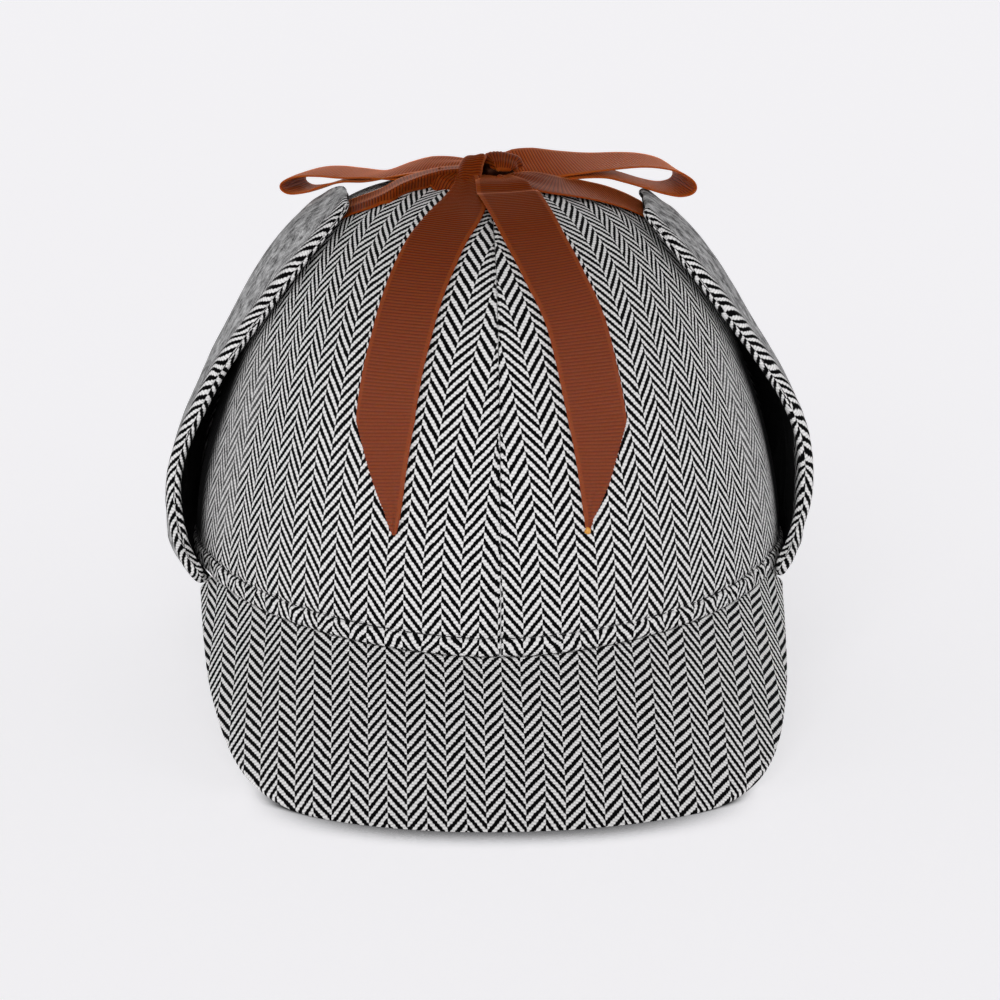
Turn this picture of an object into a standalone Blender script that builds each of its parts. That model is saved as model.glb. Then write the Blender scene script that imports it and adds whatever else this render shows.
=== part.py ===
"""Deerstalker hat: six-gore crown, two peaks, two ear flaps tied up with a ribbon bow.

Metres, +Z up, front towards -Y, right towards +X. The hat stands on z = 0 on the edges of
its two peaks, and the origin is under the middle of the crown. Angles of azimuth start at
the front and grow towards +X.
"""

import math
from collections import namedtuple

import bmesh
import bpy
from mathutils import Quaternion, Vector

MM = 0.001

# Clearance between neighbouring pieces of cloth.
PIECE_GAP = 0.3 * MM

# Crown: a dome whose plan is an ellipse and whose profile is a full superellipse. The tied-up
# flaps press its sides in, most at two thirds of its height.
CROWN_HALF_WIDTH = 91 * MM
CROWN_SIDE_PRESS = 6 * MM
CROWN_HALF_LENGTH = 100 * MM
CROWN_TOP = 162 * MM
CROWN_FULLNESS = 2.5
CROWN_WALL = 2.5 * MM
DOME_FOOT = 46 * MM
DOME_HEIGHT = CROWN_TOP - DOME_FOOT

# Crown's lower edge: low over each peak and higher at the sides.
RIM_HEIGHT_OVER_PEAK = 38 * MM
RIM_HEIGHT_AT_SIDE = 46 * MM
RIM_RISE_STARTS_DEG = 6
RIM_RISE_ENDS_DEG = 46
HEM_WIDTH = 5.4 * MM
HEM_STEP = 0.6 * MM
HEM_THICKNESS = 0.7 * MM

# Gores: the cloth dips at each seam and swells between them.
GORE_COUNT = 6
GORE_COLUMNS = 8
GORE_CLIMBS_DEG = (5, 10, 17, 25, 33, 41, 49, 57, 65, 73, 80, 85, 89.4)
SEAM_DIP = 0.6 * MM
SEAM_DIP_WIDTH = 6 * MM
SEAM_DIP_FADE = 3
GORE_NAMES = (
    "crown_panel_front_right",
    "crown_panel_side_right",
    "crown_panel_back_right",
    "crown_panel_back_left",
    "crown_panel_side_left",
    "crown_panel_front_left",
)

# Peaks: half of the front peak's outer edge. Each row is a point of the edge in millimetres,
# the azimuth of the point of the crown's rim that it is cut against, and how much fuller the
# right half is there.
PEAK_THICKNESS = 3 * MM
PEAK_SWELL = 1.3 * MM
PEAK_SWELL_LENGTH = 60 * MM
PEAK_TUCK = 2.2 * MM
PEAK_ROWS = 7
PEAK_COLUMNS = 40
PEAK_EDGE_ROUNDING = 0.9 * MM
PeakStation = namedtuple("PeakStation", "rim_azimuth_deg x y z fuller_right")
PEAK_FULLER_TOWARDS = Vector((0.8, -0.6, 0))
PEAK_EDGE = (
    PeakStation(0.0, 0.0, -143.0, -0.6, 0),
    PeakStation(9.3, 18.0, -141.6, -0.6, 0),
    PeakStation(18.5, 35.0, -137.3, -0.6, 0.3),
    PeakStation(27.0, 50.5, -130.2, -0.4, 1.0),
    PeakStation(33.5, 61.4, -121.6, 1.0, 2.0),
    PeakStation(38.5, 69.2, -113.6, 3.2, 2.6),
    PeakStation(43.0, 75.3, -104.4, 6.6, 2.8),
    PeakStation(48.0, 80.2, -92.5, 12.0, 2.4),
    PeakStation(53.5, 84.1, -77.5, 19.0, 1.6),
    PeakStation(57.5, 86.2, -66.0, 24.8, 0.9),
    PeakStation(62.5, 88.0, -49.5, 32.8, 0.3),
    PeakStation(66.5, 88.9, -38.5, 38.6, 0),
    PeakStation(69.4, 89.3, -34.0, 42.0, 0),
)

# Ear flaps: rows across a flap from its seam under the crown's rim, round the fold and up to
# its tip. Climb is the angle up the crown's side, drop the distance below the dome's foot,
# stand_off the middle of the cloth from the crown, flare what the front edge stands off more
# and tuck what the back edge stands off less, thickness that of the padded cloth, and front
# and back where the two edges lie.
FLAP_THICKNESS = 4.5 * MM
FLAP_EDGE_ROUNDING = 0.9 * MM
FLAP_COLUMNS = 10
FlapRow = namedtuple("FlapRow", "climb_deg drop stand_off flare tuck thickness front back")
FLAP_LEFT_ROWS = (
    FlapRow(0, 1.5, -1.0, 0, 0, 2.0, -31, 33),
    FlapRow(0, 1.7, 1.8, 0, 0, 2.4, -32, 34),
    FlapRow(0, 0.2, 4.3, 0, 0, 3.4, -36, 35),
    FlapRow(0, -3.2, 6.0, 0.4, 1, 4.5, -40, 36),
    FlapRow(5.5, 0, 7.0, 1.2, 3, 4.5, -31, 35),
    FlapRow(11.3, 0, 7.6, 1.8, 4, 4.5, -24, 32),
    FlapRow(16.5, 0, 7.6, 2.0, 4.2, 4.5, -22, 31),
    FlapRow(22, 0, 6.8, 1.8, 3.6, 4.5, -23, 31),
    FlapRow(27.5, 0, 5.3, 1.6, 2.2, 4.5, -24, 31),
    FlapRow(33, 0, 4.3, 1.3, 1.4, 4.5, -26, 32),
    FlapRow(38.4, 0, 3.2, 1.2, 0.5, 4.5, -29, 33),
    FlapRow(44, 0, 2.8, 1.2, 0, 4.5, -33, 33),
    FlapRow(50, 0, 2.8, 1.2, 0, 4.3, -35, 31),
    FlapRow(56, 0, 2.9, 1.0, 0, 3.8, -35, 26),
    FlapRow(61.5, 0, 3.3, 0.6, 0.3, 3.2, -32, 17),
    FlapRow(65.5, 0, 3.8, 0.3, 0.3, 3.0, -27, 8),
    FlapRow(68.2, 0, 4.0, 0, 0.2, 3.0, -20, -2),
)
FLAP_RIGHT_ROWS = (
    FlapRow(0, 1.5, -1.0, 0, 0, 2.0, -31, 33),
    FlapRow(0, 1.7, 1.5, 0, 0, 2.4, -32, 34),
    FlapRow(0, 0.4, 3.0, 0, 0, 3.2, -36, 35),
    FlapRow(0, -3.2, 3.9, 0.4, 0.4, 4.5, -40, 36),
    FlapRow(5.5, 0, 5.1, 1.2, 1.6, 4.5, -31, 35),
    FlapRow(11.3, 0, 7.1, 1.8, 3.4, 4.5, -24, 32),
    FlapRow(16.5, 0, 8.3, 2.0, 4.6, 4.5, -22, 31),
    FlapRow(22, 0, 9.0, 1.8, 5.2, 4.5, -23, 31),
    FlapRow(27.5, 0, 8.2, 1.4, 4.4, 4.5, -24, 31),
    FlapRow(33, 0, 6.2, 1.2, 2.6, 4.5, -26, 32),
    FlapRow(38.4, 0, 4.4, 1.2, 1.2, 4.5, -29, 33),
    FlapRow(44, 0, 3.6, 1.2, 0.6, 4.5, -33, 33),
    FlapRow(50, 0, 3.3, 1.2, 0.4, 4.3, -35, 31),
    FlapRow(56, 0, 3.4, 1.0, 0.5, 3.8, -35, 26),
    FlapRow(61.5, 0, 3.7, 0.6, 0.5, 3.2, -31, 17),
    FlapRow(65.6, 0, 3.9, 0.2, 0.3, 3.0, -24, 6),
)

# Ribbon, 19 mm wide, with the small lift that keeps it clear of the cloth that it lies on.
RIBBON_THICKNESS = 1 * MM
RIBBON_SEAT = PIECE_GAP + RIBBON_THICKNESS / 2

# Knot: a bulge wrapped by one narrower turn, as centre and half size in millimetres and the
# angle by which its front dips.
KNOT_POWER = 0.8
KNOT_SIDES = 14
KNOT_RINGS = 9
KnotLump = namedtuple("KnotLump", "centre half_size dip_deg")
KNOT_BULGE = KnotLump((1.3, -8.5, 166.3), (7.7, 8.5, 3.9), 0)
KNOT_WRAP = KnotLump((-8.0, -16.0, 165.5), (5.2, 12.0, 3.6), 10)
KNOT_MIDDLE = (-2.0, -8.0)

# Ties: from under each flap's tip over the crown to the knot. x is measured towards the flap,
# and roll lifts the back edge and lowers the front one.
TieRow = namedtuple("TieRow", "x y lift roll_deg half_width")
TIE_LEFT_ROWS = (
    TieRow(44.5, -12, 0, 0, 9.5),
    TieRow(40, -13.5, 0, 0, 9.5),
    TieRow(34, -16, 0.4, 2, 9.5),
    TieRow(28, -18.3, 0.9, 5, 9.5),
    TieRow(22, -20, 1.6, 9, 9.5),
    TieRow(17, -20, 2.3, 12, 8.2),
    TieRow(12, -18.0, 3.2, 11, 5.2),
    TieRow(7, -16, 3.7, 6, 4.0),
)
TIE_RIGHT_ROWS = (
    TieRow(49, -9.5, 0, 0, 9.5),
    TieRow(44, -10, 0.1, 0, 9.5),
    TieRow(38, -11.5, 0.3, 1.5, 9.5),
    TieRow(31, -14, 0.5, 3, 9.5),
    TieRow(24, -17.6, 0.5, 3, 9.5),
    TieRow(17, -18.0, 0.4, 2, 8.5),
    TieRow(10.5, -14.5, 0.7, 0, 6.0),
    TieRow(4, -11, 1.4, 0, 4.5),
)

# Loops: out is the distance from the knot's middle along the loop's heading, z the height, and
# tilt turns the ribbon about its own path. The whole loop leans so that its back edge is
# higher.
LoopRow = namedtuple("LoopRow", "out z tilt_deg half_width")
LOOP_RIGHT_HEADING_DEG = 18
LOOP_RIGHT_LEAN_DEG = 6
LOOP_RIGHT_ROWS = (
    LoopRow(5, 167.3, 0, 4.5),
    LoopRow(12, 167.4, 2, 6.8),
    LoopRow(19, 166.9, 0, 8.7),
    LoopRow(28, 165.9, 0, 9.5),
    LoopRow(38, 165.2, 0, 9.5),
    LoopRow(48, 165.1, 0, 9.5),
    LoopRow(55, 164.4, 0, 9.5),
    LoopRow(61, 162.8, 0, 9.5),
    LoopRow(65.2, 160.3, 0, 9.5),
    LoopRow(66.6, 157.9, 0, 9.5),
    LoopRow(65.2, 156.1, 0, 9.5),
    LoopRow(61.2, 155.6, 0, 9.5),
    LoopRow(55.5, 156.9, 0, 9.5),
    LoopRow(49.5, 158.9, 0, 9.5),
    LoopRow(43, 161.0, 0, 9.5),
    LoopRow(36.5, 162.7, 0, 9.5),
    LoopRow(28, 164.3, 0, 9.5),
    LoopRow(19, 165.3, 0, 8.7),
    LoopRow(12, 165.8, -2, 6.8),
    LoopRow(5, 165.7, 0, 4.5),
)
LOOP_LEFT_HEADING_DEG = 24
LOOP_LEFT_LEAN_DEG = 0
LOOP_LEFT_ROWS = (
    LoopRow(5, 166.9, 0, 4.5),
    LoopRow(12, 165.9, 0, 6.5),
    LoopRow(19.5, 164.9, 0, 8.5),
    LoopRow(27.5, 163.5, 0.5, 9.5),
    LoopRow(35, 161.6, -1.5, 9.5),
    LoopRow(43, 161.3, 1, 9.5),
    LoopRow(50, 161.5, 1.5, 9.5),
    LoopRow(56, 161.1, 1, 9.5),
    LoopRow(60.5, 159.9, 0, 9.5),
    LoopRow(63.2, 158.1, 0, 9.5),
    LoopRow(63, 156.1, 0, 9.5),
    LoopRow(60, 155.0, 0, 9.5),
    LoopRow(54.5, 155.9, 0, 9.5),
    LoopRow(49, 157.9, 1, 9.5),
    LoopRow(42.5, 159.5, 1, 9.5),
    LoopRow(35, 160.2, 0, 9.5),
    LoopRow(27.5, 161.8, 0, 9.5),
    LoopRow(19.5, 163.4, 0, 8.5),
    LoopRow(12, 164.4, 0, 6.5),
    LoopRow(5, 165.3, 0, 4.5),
)

# Tails: down the crown's front. Climb is the angle up the front, left and right are the two
# edges from the path, and the last rows close the slanting cut.
TailRow = namedtuple("TailRow", "x climb_deg lift left right")
TAIL_LEFT_ROWS = (
    TailRow(-6.8, 85, 3.2, 3.0, 3.0),
    TailRow(-7.0, 81.5, 1.2, 3.8, 3.8),
    TailRow(-7.8, 77.5, 0.1, 5.8, 6.3),
    TailRow(-9.6, 72.5, 0, 7.9, 7.9),
    TailRow(-12.2, 68.4, 0, 8.7, 8.7),
    TailRow(-16.5, 62.8, 0, 9.2, 9.2),
    TailRow(-19.6, 57.8, 0, 9.5, 9.5),
    TailRow(-22.6, 52.6, 0, 9.5, 9.5),
    TailRow(-25.3, 47.2, 0, 9.5, 9.5),
    TailRow(-27.6, 41.8, 0, 9.5, 9.5),
    TailRow(-29.5, 37.4, 0, 9.5, 9.5),
    TailRow(-31.1, 32.5, 0, 9.5, 9.5),
    TailRow(-32.1, 28, 0, 9.3, 9.3),
    TailRow(-32.4, 20.5, 0, 5.1, 6.8),
    TailRow(-32.3, 14, 0, 0.4, 4.7),
    TailRow(-32.0, 10.8, 0, -1.7, 2.6),
)
TAIL_RIGHT_ROWS = (
    TailRow(1.0, 86, 3.6, 4.5, 4.5),
    TailRow(3.0, 80.5, 2.7, 7.8, 7.8),
    TailRow(5.2, 75.2, 2.1, 9.4, 9.4),
    TailRow(8.6, 67.9, 1.0, 9.5, 9.5),
    TailRow(11.7, 61.9, 0.2, 9.5, 9.5),
    TailRow(14.6, 56.9, 0, 9.5, 9.5),
    TailRow(17.2, 52.3, 0, 9.5, 9.5),
    TailRow(19.8, 48.4, 0, 9.5, 9.5),
    TailRow(22.4, 43.6, 0, 9.5, 9.5),
    TailRow(24.7, 37.3, 0, 9.5, 9.5),
    TailRow(26.4, 32, 0, 9.5, 9.5),
    TailRow(27.8, 27, 0, 9.3, 9.3),
    TailRow(28.2, 22.4, 0, 7.9, 6.0),
    TailRow(28.2, 17.5, 0, 6.3, 3.0),
    TailRow(28.0, 12.6, 0, 4.6, -1.8),
    TailRow(27.9, 10.9, 0, 3.8, -3.0),
)

# Numerical steps on the dome, and the factor that brings the press's curve to 1 at its peak.
HALVINGS = 40
NUDGE = 0.01 * MM
PRESS_PEAK_FACTOR = 27 / 4

# Block under the hat that levels the cloth where it rests.
FLOOR_SIZE = 400 * MM
FLOOR_DEPTH = 20 * MM

BEVEL_ANGLE = math.radians(60)


def clear_scene():
    """Start from an empty scene."""
    for obj in list(bpy.data.objects):
        bpy.data.objects.remove(obj, do_unlink=True)


def make_material(name, colour, roughness):
    """A plain non-metallic finish."""
    material = bpy.data.materials.new(name)
    material.use_nodes = True
    shader = material.node_tree.nodes["Principled BSDF"]
    shader.inputs["Base Color"].default_value = (*colour, 1)
    shader.inputs["Roughness"].default_value = roughness
    shader.inputs["Metallic"].default_value = 0
    return material


def add_object(name, mesh, material):
    """Put a mesh into the scene as one named piece."""
    obj = bpy.data.objects.new(name, mesh)
    bpy.context.scene.collection.objects.link(obj)
    mesh.materials.append(material)
    return obj


def sheet_mesh(name, rows):
    """A sheet through a grid of points, facing the side from which its rows run left to right."""
    shape = bmesh.new()
    grid = [[shape.verts.new(point) for point in row] for row in rows]
    for low, high in zip(grid, grid[1:]):
        for i in range(len(low) - 1):
            shape.faces.new((low[i], low[i + 1], high[i + 1], high[i]))
    mesh = bpy.data.meshes.new(name)
    shape.to_mesh(mesh)
    shape.free()
    return mesh


def thicken(obj, thickness, side):
    """Give a sheet its wall: side -1 is behind it, and 0 is half on each side."""
    wall = obj.modifiers.new("wall", "SOLIDIFY")
    wall.thickness = thickness
    wall.offset = side
    wall.use_even_offset = True
    wall.use_quality_normals = True


def round_edges(obj, width):
    """Round the sheet's cut edge."""
    rounding = obj.modifiers.new("rounded edge", "BEVEL")
    rounding.width = width
    rounding.segments = 2
    rounding.limit_method = "ANGLE"
    rounding.angle_limit = BEVEL_ANGLE


def apply_boolean(obj, other, operation):
    """Join another shape to a piece, or cut the piece with it."""
    step = obj.modifiers.new(other.name, "BOOLEAN")
    step.object = other
    step.operation = operation
    step.solver = "EXACT"


def hide_helper(obj):
    """Keep a shape that only cuts or joins out of the render."""
    obj.hide_render = True
    obj.display_type = "WIRE"


def smoothstep(value):
    """Ease from 0 to 1."""
    value = min(max(value, 0.0), 1.0)
    return value * value * (3 - 2 * value)


def curve_through(points, share):
    """Point at a share from 0 to 1 of a smooth curve through evenly numbered points."""
    last = len(points) - 1
    place = share * last
    index = min(int(place), last - 1)
    t = place - index
    before = points[max(index - 1, 0)]
    start = points[index]
    end = points[index + 1]
    after = points[min(index + 2, last)]
    return 0.5 * (
        2 * start
        + (end - before) * t
        + (2 * before - 5 * start + 4 * end - after) * t**2
        + (3 * start - before - 3 * end + after) * t**3
    )


def dome_height_at(climb):
    """Height of the dome at an angle of climb from 0 at its foot to 90 degrees at its top."""
    return DOME_FOOT + DOME_HEIGHT * math.sin(climb) ** (2 / CROWN_FULLNESS)


def plan_share(height):
    """Size of the dome's plan at a height, as a share of its size at the foot."""
    rise = max(height - DOME_FOOT, 0) / DOME_HEIGHT
    return max(1 - rise**CROWN_FULLNESS, 0) ** (1 / CROWN_FULLNESS)


def half_width_at(height):
    """Half width of the dome's full plan at a height, less what the flaps press in."""
    rise = min(max(height - DOME_FOOT, 0) / DOME_HEIGHT, 1)
    press = PRESS_PEAK_FACTOR * rise**2 * (1 - rise)
    return CROWN_HALF_WIDTH - CROWN_SIDE_PRESS * press


def dome_level(point):
    """Level of the dome's field at a point: 1 on its face, less inside."""
    plan = math.hypot(point.x / half_width_at(point.z), point.y / CROWN_HALF_LENGTH)
    rise = max(point.z - DOME_FOOT, 0) / DOME_HEIGHT
    return plan**CROWN_FULLNESS + rise**CROWN_FULLNESS


def height_over(x, y):
    """Height of the dome over a point of its plan, found by halving."""
    low = DOME_FOOT
    high = CROWN_TOP
    for _ in range(HALVINGS):
        middle = (low + high) / 2
        if dome_level(Vector((x, y, middle))) < 1:
            low = middle
        else:
            high = middle
    return low


def dome_normal(point):
    """Direction straight out of the dome, and level below its foot."""
    steps = (Vector((NUDGE, 0, 0)), Vector((0, NUDGE, 0)), Vector((0, 0, NUDGE)))
    slopes = [dome_level(point + step) - dome_level(point - step) for step in steps]
    return Vector(slopes).normalized()


def crown_at(azimuth, height, lift=0):
    """Point of the crown's outer face, or off it by a lift."""
    share = plan_share(height)
    point = Vector(
        (
            half_width_at(height) * share * math.sin(azimuth),
            -CROWN_HALF_LENGTH * share * math.cos(azimuth),
            height,
        )
    )
    return point + dome_normal(point) * lift


def rim_height(azimuth):
    """Height of the crown's lower edge."""
    from_middle = abs(math.degrees(math.asin(math.sin(azimuth))))
    span = RIM_RISE_ENDS_DEG - RIM_RISE_STARTS_DEG
    rise = smoothstep((from_middle - RIM_RISE_STARTS_DEG) / span)
    return RIM_HEIGHT_OVER_PEAK + rise * (RIM_HEIGHT_AT_SIDE - RIM_HEIGHT_OVER_PEAK)


def front_point(x, climb, lift=0):
    """Point up the crown's front: climb runs from 0 at the dome's foot to 90 degrees on top."""
    reach = CROWN_HALF_LENGTH * math.sqrt(1 - (x / CROWN_HALF_WIDTH) ** 2)
    y = -reach * math.cos(climb) ** (2 / CROWN_FULLNESS)
    point = Vector((x, y, height_over(x, y)))
    return point + dome_normal(point) * lift


def side_point(side, y, climb, lift=0):
    """Point up the crown's side, with side +1 at the right and -1 at the left."""
    reach = CROWN_HALF_WIDTH * math.sqrt(1 - (y / CROWN_HALF_LENGTH) ** 2)
    x = side * reach * math.cos(climb) ** (2 / CROWN_FULLNESS)
    point = Vector((x, y, height_over(x, y)))
    return point + dome_normal(point) * lift


def seam_dip(azimuth, height):
    """Depth of the crown's face below the dome near a seam."""
    gore = 2 * math.pi / GORE_COUNT
    share = plan_share(height)
    from_seam = abs((azimuth + gore / 2) % gore - gore / 2) * CROWN_HALF_LENGTH * share
    fade = min(SEAM_DIP_FADE * share, 1)
    return SEAM_DIP * fade * math.exp(-((from_seam / SEAM_DIP_WIDTH) ** 2))


def gore_point(seam, column, height, lift):
    """Point of one gore, in a column that keeps half the gap to the seams at both sides."""
    gore = 2 * math.pi / GORE_COUNT
    margin = PIECE_GAP / 2 / (CROWN_HALF_WIDTH * plan_share(height))
    azimuth = seam * gore + margin + (gore - 2 * margin) * column / GORE_COLUMNS
    return crown_at(azimuth, height, lift - seam_dip(azimuth, height))


def gore_rows(seam):
    """Rows of one gore: the turned hem, the step above it, and the dome up to its top."""
    gore = 2 * math.pi / GORE_COUNT
    rims = [rim_height((seam + i / GORE_COLUMNS) * gore) for i in range(GORE_COLUMNS + 1)]
    rows = []
    for above_rim, lift in ((0, HEM_THICKNESS), (HEM_WIDTH, HEM_THICKNESS), (HEM_WIDTH + HEM_STEP, 0)):
        rows.append([gore_point(seam, i, rim + above_rim, lift) for i, rim in enumerate(rims)])
    for climb_deg in GORE_CLIMBS_DEG:
        height = dome_height_at(math.radians(climb_deg))
        rows.append([gore_point(seam, i, height, 0) for i in range(GORE_COLUMNS + 1)])
    return rows


def build_crown(tweed):
    """Six gores with their wall inside."""
    for seam, name in enumerate(GORE_NAMES):
        panel = add_object(name, sheet_mesh(name, gore_rows(seam)), tweed)
        thicken(panel, CROWN_WALL, -1)
        panel.data.shade_smooth()


def peak_edge_point(share):
    """Point of the front peak's outer edge, from -1 at its left end to 1 at its right end."""
    points = [Vector((row.x, row.y, row.z)) * MM for row in PEAK_EDGE]
    point = curve_through(points, abs(share))
    point.x = math.copysign(point.x, share)
    if share > 0:
        fuller = curve_through([row.fuller_right for row in PEAK_EDGE], share)
        point += PEAK_FULLER_TOWARDS * fuller * MM
    return point


def peak_rim_azimuth(share):
    """Azimuth of the rim's point that a share of the peak's edge is cut against."""
    azimuths = [row.rim_azimuth_deg for row in PEAK_EDGE]
    return math.copysign(math.radians(curve_through(azimuths, abs(share))), share)


def peak_rows():
    """Rows of the front peak's upper face, from the strip under the crown's edge outwards."""
    shares = [2 * i / PEAK_COLUMNS - 1 for i in range(PEAK_COLUMNS + 1)]
    rows = [[] for _ in range(PEAK_ROWS + 1)]
    for share in shares:
        azimuth = peak_rim_azimuth(share)
        height = rim_height(azimuth) - PIECE_GAP
        seat = crown_at(azimuth, height)
        edge = peak_edge_point(share)
        rows[0].append(crown_at(azimuth, height, -PEAK_TUCK))
        slope = edge - seat
        along = Vector((math.cos(azimuth), math.sin(azimuth), 0))
        swell = along.cross(slope).normalized() * -PEAK_SWELL * slope.length / PEAK_SWELL_LENGTH
        for i in range(PEAK_ROWS):
            t = i / (PEAK_ROWS - 1)
            rows[i + 1].append(seat + slope * t + swell * 4 * t * (1 - t))
    return rows[::-1]


def build_peaks(tweed, floor):
    """Front peak, and the same shape turned round for the back."""
    mesh = sheet_mesh("peak", peak_rows())
    mesh.shade_smooth()
    mesh.materials.append(tweed)
    for name, turn in (("front_peak", 0), ("back_peak", math.pi)):
        peak = bpy.data.objects.new(name, mesh)
        bpy.context.scene.collection.objects.link(peak)
        peak.rotation_euler.z = turn
        thicken(peak, PEAK_THICKNESS, -1)
        round_edges(peak, PEAK_EDGE_ROUNDING)
        apply_boolean(peak, floor, "DIFFERENCE")


def flap_grid(side, flap_rows):
    """Rows of a flap's middle layer from its seam to its tip."""
    rows = []
    for row in flap_rows:
        points = []
        for i in range(FLAP_COLUMNS + 1):
            across = 2 * i / FLAP_COLUMNS - 1
            y = (row.front * (1 - across) + row.back * (1 + across)) / 2 * MM
            change = row.flare if across < 0 else -row.tuck
            stand_off = (row.stand_off + change * across**2) * MM
            point = side_point(side, y, math.radians(row.climb_deg), stand_off)
            points.append(point - Vector((0, 0, row.drop * MM)))
        rows.append(points[::side])
    return rows


def build_flap(name, side, flap_rows, tweed):
    """One ear flap, folded up along the crown's rim."""
    flap = add_object(name, sheet_mesh(name, flap_grid(side, flap_rows)), tweed)
    padding = flap.vertex_groups.new(name="padding")
    across = FLAP_COLUMNS + 1
    for index, row in enumerate(flap_rows):
        vertices = range(index * across, (index + 1) * across)
        padding.add(list(vertices), row.thickness * MM / FLAP_THICKNESS, "REPLACE")
    thicken(flap, FLAP_THICKNESS, 0)
    flap.modifiers["wall"].vertex_group = padding.name
    round_edges(flap, FLAP_EDGE_ROUNDING)
    flap.data.shade_smooth()


def superellipsoid(name, lump, growth=0):
    """A rounded lump, made larger on all sides by a growth."""
    shape = bmesh.new()
    bmesh.ops.create_uvsphere(shape, u_segments=KNOT_SIDES, v_segments=KNOT_RINGS, radius=1)
    centre = Vector(lump.centre) * MM
    half_size = Vector(lump.half_size) * MM + Vector((growth, growth, growth))
    dip = Quaternion((1, 0, 0), math.radians(lump.dip_deg))
    for vertex in shape.verts:
        squared = [math.copysign(abs(c) ** KNOT_POWER, c) for c in vertex.co]
        vertex.co = centre + dip @ Vector([c * size for c, size in zip(squared, half_size)])
    mesh = bpy.data.meshes.new(name)
    shape.to_mesh(mesh)
    shape.free()
    mesh.shade_smooth()
    return mesh


def build_knot(ribbon):
    """The knot: its bulge with the wrap joined on."""
    wrap = add_object("knot_wrap", superellipsoid("knot_wrap", KNOT_WRAP), ribbon)
    hide_helper(wrap)
    knot = add_object("bow_knot", superellipsoid("bow_knot", KNOT_BULGE), ribbon)
    apply_boolean(knot, wrap, "UNION")


def knot_cutters(ribbon):
    """The knot's lumps grown by the gap, which trim each ribbon where it meets the knot."""
    cutters = []
    for name, lump in (("bulge_clearance", KNOT_BULGE), ("wrap_clearance", KNOT_WRAP)):
        cutter = add_object(name, superellipsoid(name, lump, PIECE_GAP), ribbon)
        hide_helper(cutter)
        cutters.append(cutter)
    return cutters


def ribbon_piece(name, rows, ribbon, cutters):
    """A ribbon through rows of edge points, trimmed at the knot."""
    strip = add_object(name, sheet_mesh(name, rows), ribbon)
    thicken(strip, RIBBON_THICKNESS, 0)
    for cutter in cutters:
        apply_boolean(strip, cutter, "DIFFERENCE")
    strip.data.shade_smooth()


def path_directions(points):
    """Unit direction along a path at each of its points."""
    last = len(points) - 1
    return [
        (points[min(i + 1, last)] - points[max(i - 1, 0)]).normalized()
        for i in range(len(points))
    ]


def build_tie(name, side, tie_rows, ribbon, cutters):
    """A tie that lies on the crown from a flap's tip to the knot."""
    centres = []
    normals = []
    for row in tie_rows:
        x = side * row.x * MM
        y = row.y * MM
        foot = Vector((x, y, height_over(x, y)))
        normals.append(dome_normal(foot))
        centres.append(foot + normals[-1] * (RIBBON_SEAT + row.lift * MM))
    rows = []
    for row, centre, along, normal in zip(tie_rows, centres, path_directions(centres), normals):
        level = normal.cross(along).normalized()
        roll = Quaternion(along, math.radians(-side * row.roll_deg))
        across = roll @ level * row.half_width * MM
        rows.append([centre - across, centre + across])
    ribbon_piece(name, rows, ribbon, cutters)


def build_loop(name, side, heading_deg, lean_deg, loop_rows, ribbon, cutters):
    """A loop of the bow: out along the top, round its end, and back underneath."""
    heading = math.radians(heading_deg)
    outward = Vector((side * math.cos(heading), math.sin(heading), 0))
    level_axis = Vector((-side * math.sin(heading), math.cos(heading), 0))
    up = Vector((0, 0, 1))
    lean = math.radians(lean_deg)
    axis = level_axis * math.cos(lean) + up * math.sin(lean)
    middle = Vector((*KNOT_MIDDLE, 0))
    centres = [(middle + outward * row.out + up * row.z) * MM for row in loop_rows]
    rows = []
    for row, centre, along in zip(loop_rows, centres, path_directions(centres)):
        turn = Quaternion(along, math.radians(row.tilt_deg) * side)
        across = turn @ axis * row.half_width * MM
        rows.append([centre - across, centre + across])
    ribbon_piece(name, rows, ribbon, cutters)


def build_tail(name, tail_rows, ribbon, cutters):
    """A tail of the bow on the crown's front, with its slanting cut end."""
    centres = []
    normals = []
    for row in tail_rows:
        foot = front_point(row.x * MM, math.radians(row.climb_deg))
        normals.append(dome_normal(foot))
        centres.append(foot + normals[-1] * (RIBBON_SEAT + row.lift * MM))
    rows = []
    for row, centre, along, normal in zip(tail_rows, centres, path_directions(centres), normals):
        across = along.cross(normal).normalized()
        rows.append([centre + across * row.left * MM, centre - across * row.right * MM])
    ribbon_piece(name, rows, ribbon, cutters)


def floor_block():
    """A block whose top is z = 0."""
    shape = bmesh.new()
    bmesh.ops.create_cube(shape, size=1)
    bmesh.ops.scale(shape, vec=(FLOOR_SIZE, FLOOR_SIZE, FLOOR_DEPTH), verts=shape.verts)
    bmesh.ops.translate(shape, vec=(0, 0, -FLOOR_DEPTH / 2), verts=shape.verts)
    mesh = bpy.data.meshes.new("floor_level")
    shape.to_mesh(mesh)
    shape.free()
    block = bpy.data.objects.new("floor_level", mesh)
    bpy.context.scene.collection.objects.link(block)
    hide_helper(block)
    return block


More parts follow.
